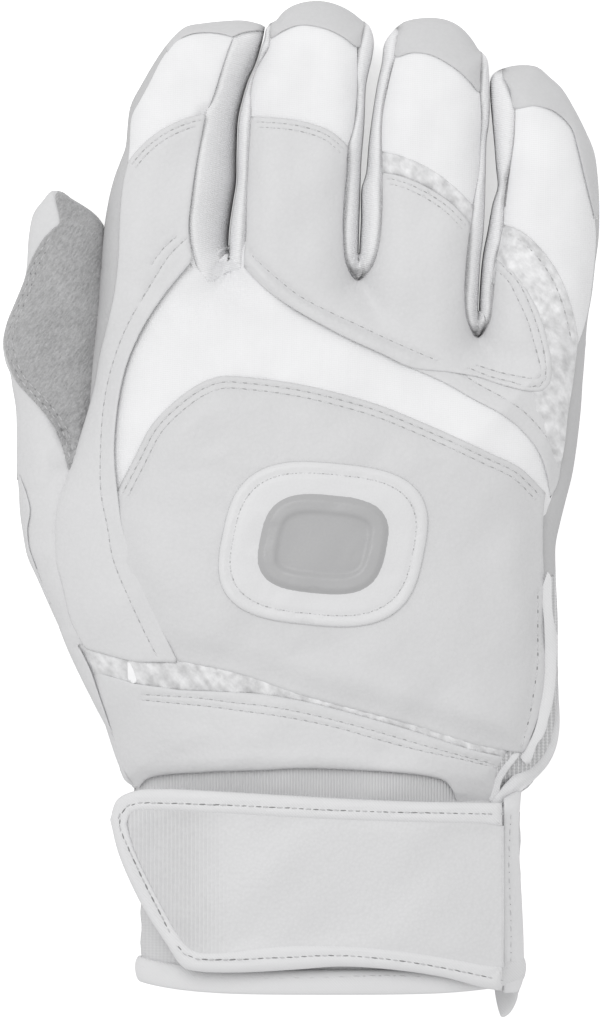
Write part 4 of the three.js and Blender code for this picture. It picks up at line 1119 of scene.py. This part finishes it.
gloss_band = patch(
    "lower_gloss_strip",
    [run("tuck", (74, 638), (106, 643), (129, 648), (161, 652), (177, 650), (260, 666), (300, 678),
                 (408, 710), (473, 730), (512, 742)),
     run("tuck", (512, 742), (510, 764)),
     run("tuck", (510, 764), (470, 757), (408, 737), (330, 715), (300, 708), (260, 701), (215, 699),
                 (177, 697), (138, 692), (115, 687), (88, 678)),
     run("tuck", (88, 678), (74, 638))],
    [hand], out=0.75, wall=0.6, grain=0.6, shape=crumpled,
)
made(gloss_band, film, "gloss_strip", "hand", "wrist_gloss_strip")
# A near-white sliver laid on the gloss strip is a painted highlight: the bright streak of light on the film,
# not a piece of it turned over.
film_highlight_paint = finish("painted_film_highlight", 253, 0.3, [("noise", 2.0, 30, 0.1, 0.03)], 0.6)
painted_film_highlight = patch(
    "painted_film_highlight", [run("free", (128, 661.5), (129.8, 661.5), (137, 682), (130, 681), (128, 661.5))],
    [hand], out=0.85, wall=0.3, grain=0.4,
)
made(painted_film_highlight, film_highlight_paint, "gloss_strip", "hand")

# The ribbed elastic. A band of close vertical ribs that gathers the wrist above the strap.
rib_layers = [("rib", (0.63, 100, 100), 0, 0.1, 0.1), ("noise", 8, 0, 0.2, 0.08)]
ribs = finish("rib_elastic", 221, 0.9, rib_layers, 0.2, 0.1)
rib_band = patch(
    "rib_band",
    [*rims_of(hand, (119, 771), (134, 815)), run("rim", (134, 815), (300, 822), (512, 822)),
     run("tuck", (512, 822), (512, 795), (500, 775)),
     run("tuck", (500, 775), (408, 758), (300, 752), (207, 755), (119, 771))],
    [hand], out=-0.4, wall=0.8, grain=1.0,
)
made(rib_band, ribs, "rib_elastic", "hand", "wrist_rib_band")

# The back pad. A leather cover stretched over a sheet of foam and sewn down all round with two rows of
# stitches, so it swells between the border and the moulded patch. It is inflated as cloth.
pad_runs = [
    run("lap", (119, 489), (134, 460), (152, 426), (173, 404), (199, 385), (221, 377), (249, 378),
               (300, 385), (343, 395), (380, 406), (415, 420), (454, 437), (488, 453), (519, 468),
               (545, 493)),
    run("lap", (545, 493), (543, 510), (543, 564), (547, 600), (547, 650), (540, 710), (524, 752)),
    run("lap", (524, 752), (512, 751), (473, 744), (408, 723), (300, 694), (238, 673), (176, 660)),
    run("tuck", (176, 660), (150, 640), (128, 590), (112, 545), (108, 515), (119, 489)),
]
pad_border = 3.0  # the sewn border that the cloth is held by
pad_swell = 1.6  # the most that it may swell
pad_lift, pad_turned, pad_rise = 0.9, 0.6, 1.3  # of its border, its turned edge and its filled middle
cloth_frames = 20
pad_hide = finish("pad_hide", 219, 0.5, hide_layers)
pad_rows = [(pad_runs[0][0], 1.3), (pad_runs[0][0], 2.6),
            (curve([(537, 590), (537, 638), (537, 661), (533, 691), (528.6, 716), (521.5, 743)]), 0)]
pad_rows = [row_in(line, gap, edge_of(pad_runs)) for line, gap in pad_rows]
pad_xy, pad_faces = cut_of(pad_runs, 1.1, pad_rows)
pad_edge = np.min([away(pad_xy, line) for line, kind in pad_runs], axis=0)
pad_z = top_of(pad_xy, everything, pad_lift) + uneven(pad_xy)
pad_z = pad_z - pad_turned * (1 - swell(pad_edge / 0.8, 2)) + pad_rise * ease((pad_edge - 1.0) / 6)
for row in pad_rows:
    pad_z = pad_z - groove_depth * np.exp(-((away(pad_xy, row) / groove_width) ** 2))
for fold_line, rise, width in [
    (curve([(150, 560), (220, 620), (300, 660), (400, 690)]), 0.7, 6.0),
    (curve([(440, 470), (480, 540), (500, 620)]), -0.7, 5.0),
    (curve([(250, 640), (330, 655), (430, 690)]), -0.6, 4.0),
    (curve([(510, 560), (505, 640), (480, 700)]), 0.8, 4.5),
    (curve([(150, 480), (190, 430), (260, 400)]), 0.6, 4.5),
    (curve([(533.6, 600), (533.8, 640), (533, 662), (529, 695), (524, 722), (516, 747)]), -0.25, 0.5),
]:
    pad_z = pad_z + rise * np.exp(-((away(pad_xy, fold_line) / width) ** 2))
pad_points = np.column_stack([pad_xy, pad_z])
trial = mesh_of("pad_trial", pad_points, pad_faces)
held = trial.vertex_groups.new(name="sewn")
held.add([int(k) for k in np.nonzero(pad_edge < pad_border)[0]], 1.0, "REPLACE")
cloth = trial.modifiers.new("cloth", "CLOTH")
for setting, value in (("quality", 6), ("mass", 0.2), ("tension_stiffness", 12),
                       ("compression_stiffness", 12), ("bending_stiffness", 0.6), ("use_pressure", True),
                       ("uniform_pressure_force", 4), ("vertex_group_mass", "sewn")):
    setattr(cloth.settings, setting, value)
cloth.settings.effector_weights.gravity = 0
scene = bpy.context.scene
for clock in (scene, cloth.point_cache):
    clock.frame_start, clock.frame_end = 1, cloth_frames
for number in range(cloth_frames):
    scene.frame_set(number + 1)
swollen = trial.evaluated_get(bpy.context.evaluated_depsgraph_get()).to_mesh()
moved_to = np.array([tuple(v.co) for v in swollen.vertices]) * 1000
shift = moved_to - pad_points
size = np.linalg.norm(shift, axis=1)
pad_points = pad_points + shift * (np.minimum(size, pad_swell) / (size + 1e-9))[:, None]
scene.frame_set(1)
bpy.data.objects.remove(trial)


def on_pad(xy, out=0):
    """The height of the swollen pad under each point."""
    return carried(xy, pad_points[:, :2], pad_points[:, 2]) + out


pad = shell("pad_cover", pad_points, pad_faces, 0.9)
surfaces["pad_cover"] = surfaces["pad_side"] = on_pad
made(pad, pad_hide, "back_leather", "hand", "back_pad_cover")
sew("pad_cover", "hand", pad_rows[:2])
# Its needle holes are dark capsules of painted shade.
sew("pad_side", "hand", pad_rows[2:], pitch=3.0, length=1.6, hole=1.0, dent=deep_hole)
foam_fill = finish("pad_foam", 236, 0.95, [("cell", 0.8, 0, 0.15, 0.2)], 0.2)
foam_edge = run("lap", (140, 489), (160, 440), (190, 410), (230, 395), (300, 402), (380, 424), (454, 455),
                       (520, 492), (528, 560), (530, 640), (515, 725), (470, 725), (300, 676), (195, 650),
                       (160, 610), (140, 545), (140, 489))
foam = patch("pad_foam_layer", [foam_edge], [hand], out=-0.6, wall=1.2, grain=2.0)
made(foam, foam_fill, "foam", "hand", "back_pad_foam")

# The moulded patch and its badge. A soft rubber patch is sewn on the middle of the pad, with a plain
# bevelled shield raised on it.
rubber = finish("moulded_rubber", 226, 0.45, [("noise", 12, 0, 0.1, 0.03), ("cell", 0.5, 0, 0.015, 0.03)])
badge_rubber = finish("badge_rubber", 180, 0.3, [("noise", 10, 0, 0.1, 0.04), ("cell", 0.5, 0, 0.015, 0.03)])
patch_height, badge_height, badge_hollow = 0.9, 1.0, 0.75


def patch_shape(xy, z):
    """A rounded edge, and a groove for the stitches a little in from it."""
    near = depth(xy, rubber_edge)
    return on_pad(xy, 0.1) + patch_height * swell(near / 1.2, 2) - 0.35 * np.exp(-((near - 2.4) / 0.5) ** 2)


def badge_shape(xy, z):
    """A bevelled border round a sunk field."""
    near = depth(xy, badge_edge)
    return on_pad(xy, 0.95) + badge_height * ease(near / 1.5) - badge_hollow * ease((near - 3.4) / 1.2)


def rounded_box(across, high, power, count):
    """Points round a box whose corners are the rounder the lower its power."""
    angle = np.linspace(0, 2 * np.pi, count, endpoint=False)
    c, s = np.cos(angle), np.sin(angle)
    return np.sign(c) * abs(c) ** (2 / power) * across, np.sign(s) * abs(s) ** (2 / power) * high


patch_middle = (323, 544)
patch_slant, patch_tilt = 0.2, 0.1


def slanted_oval(across, high):
    """A rounded four-sided outline that leans like the pad."""
    x, y = rounded_box(across, high, 3.0, 150)
    return place([patch_middle]) + np.column_stack([x + y * patch_slant, y - x * patch_tilt])


rubber_edge = slanted_oval(21.5, 17.2)
rubber_patch = patch("moulded_patch", [(rubber_edge, "free")], [hand], wall=1.0, grain=0.7, shape=patch_shape)
made(rubber_patch, rubber, "moulded_rubber", "hand", "raised_patch")
badge_edge = slanted_oval(13.6, 10.6)
badge = patch("plain_badge", [(badge_edge, "free")], [hand], wall=0.9, grain=0.5, shape=badge_shape)
made(badge, badge_rubber, "moulded_rubber", "hand", "patch_motif")
sew("moulded_patch", "hand", [slanted_oval(19.1, 14.8)], pitch=1.9, length=1.1, thickness=0.3, hole=0.8)

# The wrist opening. The slit at the little-finger side is bound on both edges with folded tape, over a knit
# gusset.
tape_layers = [("rib", 0.45, 45, 0.03, 0.05), ("noise", 7, 0, 0.15, 0.05)]
tape_cloth = finish("binding_tape", 229, 0.75, tape_layers, 0.3, 0.1)
gusset_layers = [("rib", (0.9, 100, 100), 0, 0.3, 0.25), ("rib", 0.7, 90, 0.1, 0.1)]
gusset_knit = finish("gusset_knit", 222, 0.95, gusset_layers, 0.1)


def tube_shape(line, width, raised, lift):
    """Rounds a strip of tape over its middle line, level across, whatever lies under its edges."""
    heights = hand.back(line, lift)

    def rounded(xy, z):
        nearness = np.exp(-(np.linalg.norm(xy[:, None] - line[None], axis=2) / 1.5) ** 2) + 1e-12
        across = np.clip(away(xy, line) / (width / 2), 0, 1)
        return nearness @ heights / nearness.sum(1) + raised * (np.sqrt(1 - across**2 * 0.98) - 0.4)
    return rounded


gusset = patch(
    "gusset",
    [*rims_of(hand, (556, 573), (528, 788)),
     run("free", (528, 788), (514, 795), (500, 799), (496, 770), (515, 740), (532, 700), (538, 640),
                 (540, 590), (556, 573))],
    [hand], out=0.4, wall=0.8, grain=0.9,
)
made(gusset, gusset_knit, "stretch_knit", "hand", "slit_gusset")
end_line = curve([(513, 756), (502, 772), (492, 797)])
end_tape = patch(
    "gauntlet_end_tape",
    [run("free", (508, 750), (519, 752), (509, 767), (501, 780), (496, 800), (487, 800), (489, 786),
                 (497, 770), (508, 750))],
    [hand], wall=0.9, grain=0.6, shape=tube_shape(end_line, 2.2, 0.8, 0.9),
)
made(end_tape, tape_cloth, "binding_tape", "hand", "slit_front_binding")
rear_line = curve([(556, 668), (556, 700), (553.5, 727), (547, 749), (534, 766), (514, 781), (497, 799)])
rear_lift = 0.1 + 1.6 * ease((up_at(766) - rear_line[:, 1]) / 4)  # it crosses over the top of the side band
rear_tape = patch(
    "rear_tape",
    [run("free", (554.5, 664), (557, 664), (557.8, 688), (559.4, 713), (559.3, 727), (556.3, 746),
                 (549, 762.5), (538.5, 775), (521.5, 789.5), (510, 797), (503, 803.5), (490, 803),
                 (493, 797.5), (498.8, 789.7), (506, 781), (516.5, 771), (528, 764), (537, 754.4),
                 (543, 745), (546, 732), (549.6, 717.6), (553.5, 690), (554.5, 664))],
    [hand], wall=1.0, grain=0.6, shape=tube_shape(rear_line, 3.4, 1.5, rear_lift),
)
made(rear_tape, tape_cloth, "binding_tape", "hand", "slit_rear_binding")
front_line = curve([(547, 577), (547.5, 620), (550, 660), (547, 695), (541, 722), (534, 742), (525, 758)])
front_tape = patch(
    "front_tape",
    [run("free", (547, 571), (550.5, 577), (551.3, 600), (552.5, 614.7), (554.7, 626.5), (557.2, 636),
                 (557, 648), (556.2, 660), (555.8, 673), (554.3, 690), (551.4, 706), (548, 717.6),
                 (545.2, 729.4), (541.5, 737), (536.5, 743), (533, 753), (528.3, 763.5), (524.5, 762.5),
                 (519.4, 756.5), (517.2, 751.5), (520.5, 748.5), (528.2, 741), (535.6, 723.5), (540.5, 695),
                 (543.9, 660), (543.6, 625), (541.5, 590), (547, 571))],
    [hand], wall=1.0, grain=0.6, shape=tube_shape(front_line, 3.1, 1.1, 1.5),
)
made(front_tape, tape_cloth, "binding_tape", "hand", "slit_front_binding")

# The cuff. A knit tube round the wrist with a bound lower edge, a band of leather at the side that the
# strap is sewn to, and a small pull tab below it.
wrist_left, wrist_right, wrist_top, wrist_drop = -34.2, 47.3, 35.2, 1.4
wrist_power = 2.7
cuff_steps = 120


def wrist_ring(out):
    """The wrist's cross-section, flat where it rests."""
    half_wide = (wrist_right - wrist_left) / 2 + out
    half_high = (wrist_top + wrist_drop) / 2 + out
    x, z = rounded_box(half_wide, half_high, wrist_power, cuff_steps)
    x, z = (wrist_left + wrist_right) / 2 + x, (wrist_top - wrist_drop) / 2 + z
    return np.column_stack([x, np.maximum(z, lowest - min(out, 0))])


def sleeve(name, stations, wall):
    """A tube of cloth round the wrist: each station is (row of the photograph, lift). Its lower end
    is bowed, higher at the sides."""
    rows = []
    for y, lift in stations + [(y, lift - wall) for y, lift in reversed(stations)]:
        ring_points = wrist_ring(lift)
        side = abs(ring_points[:, 0] - (wrist_left + wrist_right) / 2) / (wrist_right - wrist_left) * 2
        bowed = 2.3 * np.clip(side, 0, 1.1) ** 4 * ease((y - 900) / 60)
        rows.append(np.insert(ring_points, 1, up_at(y) + bowed, axis=1))
    faces = []
    for r in range(len(rows)):
        ahead = (r + 1) % len(rows)
        here, there = r * cuff_steps, ahead * cuff_steps
        for k in range(cuff_steps):
            step = (k + 1) % cuff_steps
            faces.append((here + k, here + step, there + step, there + k))
    return mesh_of(name, np.vstack(rows), faces)


cuff_layers = [("rib", (0.8, 100, 100), 0, 0.06, 0.05), ("rib", 0.6, 90, 0.04, 0.03)]
cuff_knit = finish("cuff_knit", 214, 0.95, cuff_layers, 0.2)
gathered = [(790, -5.5), (800, -4.0), (806, -2.0), (812, 0.0)]
cuff = sleeve("cuff", gathered + [(y, 0.15 * np.sin(y / 6)) for y in range(825, 990, 8)], 1.3)
made(cuff, cuff_knit, "cuff_knit", "hand", "cuff_band")
hem_stations = [(966 + 26 * t, 1.25 * np.sin(np.pi * t) ** 0.4 + 0.05) for t in np.linspace(0.02, 0.98, 14)]
hem = sleeve("cuff_binding", hem_stations, 1.6)
made(hem, tape_cloth, "binding_tape", "hand", "cuff_hem")


def wrist_height(x, out, left=wrist_left, right=wrist_right, top=wrist_top):
    """The height of the wrist's section at a place across it, drawn out by a lift."""
    half_wide, half_high = (right - left) / 2 + out, (top + wrist_drop) / 2 + out
    across = np.clip(abs(x - (left + right) / 2) / half_wide, 0, 0.9999)
    return (top - wrist_drop) / 2 + half_high * (1 - across**wrist_power) ** (1 / wrist_power)


def on_wrist(out, *section):
    """Lays a piece round the wrist instead of on the hand."""
    def laid(xy, z):
        return wrist_height(xy[:, 0], out, *section) + (z - top_of(xy, [hand], 0))
    return laid


band_hide = finish("band_hide", 233, 0.6, hide_layers)
side_runs = [
    run("tuck", (503, 799), (521, 789.5)),
    run("rim", (521, 789.5), (519.5, 805), (518.2, 826), (518.8, 857), (521.5, 903), (523.3, 944),
               (523, 977), (518, 991)),
    run("lap", (518, 991), (503, 991)), run("lap", (503, 991), (501, 900), (503, 799)),
]
band = patch("side_band_leather", side_runs, [hand], wall=1.2, grain=0.9, shape=on_wrist(1.0),
             rows=[(curve([(510, 815), (508, 860), (510, 920), (510, 975)]), 0)])
made(band, band_hide, "back_leather", "hand", "side_band")
sew("side_band_leather", "hand", pitch=3.2, length=1.3, hole=0.3)
hem_rows = [curve([(146, 965.5), (172, 970), (198, 973), (238, 975), (314, 974.6), (386, 972.5), (440, 974),
                   (500, 968)])]


def hem_top(xy):
    """The height of the binding's back."""
    return wrist_height(xy[:, 0], 1.0)


surfaces["cuff_binding"] = hem_top
sew("cuff_binding", "hand", hem_rows, pitch=3.1, length=1.7, thickness=0.4, lift=0.08, hole=1.4)
tab_edge = curve([(494, 978), (494.5, 990), (496, 1000), (499, 1012), (501.5, 1017), (508.5, 1014),
                  (516, 1002), (518.5, 990), (517, 978)])


tab_height = 17.2


def tab_shape(xy, z):
    """Folded tape, rounded at its edges."""
    return tab_height + 0.9 * swell(away(xy, tab_edge) / 1.5, 2)


tab = patch("tab", [(tab_edge, "free"), run("free", (517, 978), (494, 978))], [hand], wall=2.2, grain=0.6,
            shape=tab_shape)
made(tab, tape_cloth, "binding_tape", "hand", "pull_tab")
loops = finish("loop_pile", 225, 1.0, [("noise", 0.5, 0, 0.35, 0.35), ("cell", 0.7, 0, 0.2, 0.2)], 0.1, 0.4)
loop_pad = patch(
    "loop_pad",
    [run("lap", (180, 827), (480, 827)), run("lap", (480, 827), (480, 930)),
     run("lap", (480, 930), (180, 930)), run("lap", (180, 930), (180, 827))],
    [hand], wall=0.8, grain=1.0, shape=on_wrist(0.9),
)
made(loop_pad, loops, "hook_and_loop", "hand", "loop_patch")

# The wrist strap. Leather backed, bound all round with a thick rolled tape, with an embossed leather face
# between the tapes and the hook patch under its free end. It opens about the band at the little-finger
# side.
strap_section = (-44.15, 50.05, 34.98)  # the left, right and top of the wrist where the strap bows round it
tape_lift = 3.5
strap_loop = [(111, 818), (118, 798), (136, 789), (163, 787), (196, 788), (340, 796), (408, 799),
              (501, 801)]
strap_low = [(501, 988), (484, 985), (443, 974), (390, 966), (340, 963), (296, 966), (239, 969), (199, 968),
             (184, 964), (166, 939), (143, 903), (120, 853), (111, 818)]
inner_loop = [(129, 822), (134, 812), (150, 810), (340, 819), (501, 824)]
inner_low = [(501, 964), (456, 955), (398, 946), (340, 941), (279, 941), (221, 948), (198, 947), (186, 939),
             (158, 892), (136, 846), (129, 822)]
strap_hide = finish("strap_hide", 220, 0.5, hide_layers)
emboss = finish("embossed_hide", 220, 0.45, [("rib", (0.86, 60, 60), 0, 0.16, 0.06, (-14, -24)),
                                             ("cell", 0.75, 0, 0.07, 0.05), ("noise", 18, 0, 0.3, 0.04)])
strap_thread = finish("strap_thread", 206, 0.8, [("rib", 0.12, 60, 0.03, 0.2)], 0.2)
backing = patch(
    "strap_backing",
    [(curve(strap_loop), "rim"), run("rim", (501, 801), (501, 988)), (curve(strap_low), "rim")],
    [hand], wall=1.2, grain=1.4, shape=on_wrist(3.7, *strap_section),
)
made(backing, strap_hide, "strap_leather", "strap", "strap_base")
face = patch(
    "strap_face",
    [(moved(curve(inner_loop), 0, -4), "rim"), run("rim", (501, 820), (501, 968)),
     (moved(curve(inner_low), 0, 3), "rim")],
    [hand], wall=0.9, grain=1.0, shape=on_wrist(4.6, *strap_section),
)
made(face, emboss, "strap_leather", "strap", "strap_panel")
rim_outer = np.vstack([curve(strap_loop), curve(strap_low)])
rim_inner = np.vstack([curve(inner_loop), curve(inner_low)])


def rolled(xy, z):
    """The binding's round back, between its outer and its inner edge, pinched where it is stitched."""
    outside, inside = away(xy, rim_outer), away(xy, rim_inner)
    across = outside / (outside + inside + 1e-6)
    round_back = 2.0 * np.sqrt(np.clip(1 - (2 * across - 1) ** 2, 0, 1))
    pinch = 0.5 * np.exp(-(((across - 0.52) / 0.13) ** 2))
    return wrist_height(xy[:, 0], tape_lift, *strap_section) + (round_back - pinch)


binding = patch(
    "strap_tape",
    [(curve(strap_loop), "rim"), run("rim", (501, 801), (501, 824)), (curve(inner_loop)[::-1], "rim"),
     (curve(inner_low)[::-1], "rim"), run("rim", (501, 964), (501, 988)), (curve(strap_low), "rim")],
    [hand], wall=1.0, grain=0.7, shape=rolled,
)
made(binding, tape_cloth, "binding_tape", "strap", "strap_binding")
tape_rows = [
    curve([(500, 812), (408, 810), (340, 808), (230, 803), (150, 801), (133, 802), (121, 812), (120, 822),
           (127, 840), (143, 875), (160, 908), (181, 946), (192, 954), (223, 956), (279, 954), (340, 952),
           (398, 957), (450, 966), (500, 977)]),
]
# The dark dashes between these stitches are needle holes of painted shade.
sew("strap_tape", "strap", tape_rows, pitch=3.0, length=1.3, thickness=0.36, cotton=strap_thread, lift=0.04,
    hole=1.75, dent=deep_hole)
bead_line = rim_inner[3:-3]
bead_radius, bead_rise = 0.3, 0.62
bead_sides = 8
bead_turn = np.linspace(0, 2 * np.pi, bead_sides, endpoint=False)
bead_across = across_of(bead_line)
bead_height = wrist_height(bead_line[:, 0], tape_lift, *strap_section) + bead_rise
bead_middle = np.column_stack([bead_line, bead_height])
bead_points, bead_faces = [], []
for angle in bead_turn:
    ring_points = bead_middle.copy()
    ring_points[:, :2] += bead_across * bead_radius * np.cos(angle)
    ring_points[:, 2] += bead_radius * np.sin(angle)
    bead_points.append(ring_points)
count = len(bead_line)
for side in range(bead_sides):
    ahead = (side + 1) % bead_sides
    bead_faces += [(side * count + k, ahead * count + k, ahead * count + k + 1, side * count + k + 1)
                   for k in range(count - 1)]
bead_faces += [tuple(side * count for side in reversed(range(bead_sides))),
               tuple(side * count + count - 1 for side in range(bead_sides))]
bead = mesh_of("tape_bead", np.vstack(bead_points), bead_faces)
# The bead is the tape's folded edge; its cloth is lighter than the tape, a painted highlight along the fold.
bead_cloth_and_highlight = finish("bead_cloth_and_highlight", 241, 0.6, [("rib", 0.3, 45, 0.02, 0.04)], 0.3)
made(bead, bead_cloth_and_highlight, "binding_tape", "strap", "strap_binding")
hooks = finish("hook_pile", 205, 0.7, [("cell", 0.8, 0, 0.4, 0.3)], 0.3)
hook_pad = patch(
    "hook_pad",
    [run("lap", (174, 829), (288, 831)), run("lap", (288, 831), (288, 930)),
     run("lap", (288, 930), (192, 930)), run("lap", (192, 930), (174, 829))],
    [hand], wall=0.7, grain=1.0, shape=on_wrist(2.3, *strap_section),
)
made(hook_pad, hooks, "hook_and_loop", "strap", "strap_hook_patch")

# The stage: a plain pale floor, soft light from above, and a camera straight over the glove.
floor_corners = np.array([(-900, -900, 0), (900, -900, 0), (900, 900, 0), (-900, 900, 0)], float)
floor_mesh = mesh_of("floor", floor_corners, [(0, 1, 2, 3)])
floor_paint = bpy.data.materials.new("floor_paint")
floor_paint.use_nodes = True
paint = floor_paint.node_tree.nodes["Principled BSDF"]
paint.inputs["Base Color"].default_value = (0.9, 0.9, 0.9, 1)
paint.inputs["Roughness"].default_value = 0.9
paint.inputs["Emission Color"].default_value = (1, 1, 1, 1)
seen = node(floor_paint.node_tree, "ShaderNodeLightPath")
glow = node(floor_paint.node_tree, "ShaderNodeMath", {1: 0.6}, operation="MULTIPLY")
wire(floor_paint.node_tree, (seen, "Is Camera Ray", glow, 0), (glow, 0, paint, "Emission Strength"))
floor_mesh.data.materials.append(floor_paint)

world = bpy.data.worlds.new("studio")
world.use_nodes = True
world.node_tree.nodes["Background"].inputs["Color"].default_value = (1, 1, 1, 1)
world.node_tree.nodes["Background"].inputs["Strength"].default_value = 0.76
bpy.context.scene.world = world
lamp = bpy.data.lights.new("softbox", "AREA")
lamp.shape = "DISK"
lamp.size = 0.9
lamp.energy = 4.1
lamp_holder = bpy.data.objects.new("softbox", lamp)
lamp_holder.location = (-0.35, 0.45, 1.1)
lamp_holder.rotation_euler = (-0.38, -0.3, 0)
bpy.context.scene.collection.objects.link(lamp_holder)

camera = bpy.data.cameras.new("camera")
camera_distance, glove_middle, picture_high = 3.0, 0.015, 0.219085
camera.sensor_width = 36
camera.lens = 36 * camera_distance / picture_high
camera_holder = bpy.data.objects.new("camera", camera)
camera_holder.location = (0, 0, camera_distance + glove_middle)
bpy.context.scene.collection.objects.link(camera_holder)
bpy.context.scene.camera = camera_holder
bpy.context.scene.view_settings.view_transform = "Standard"
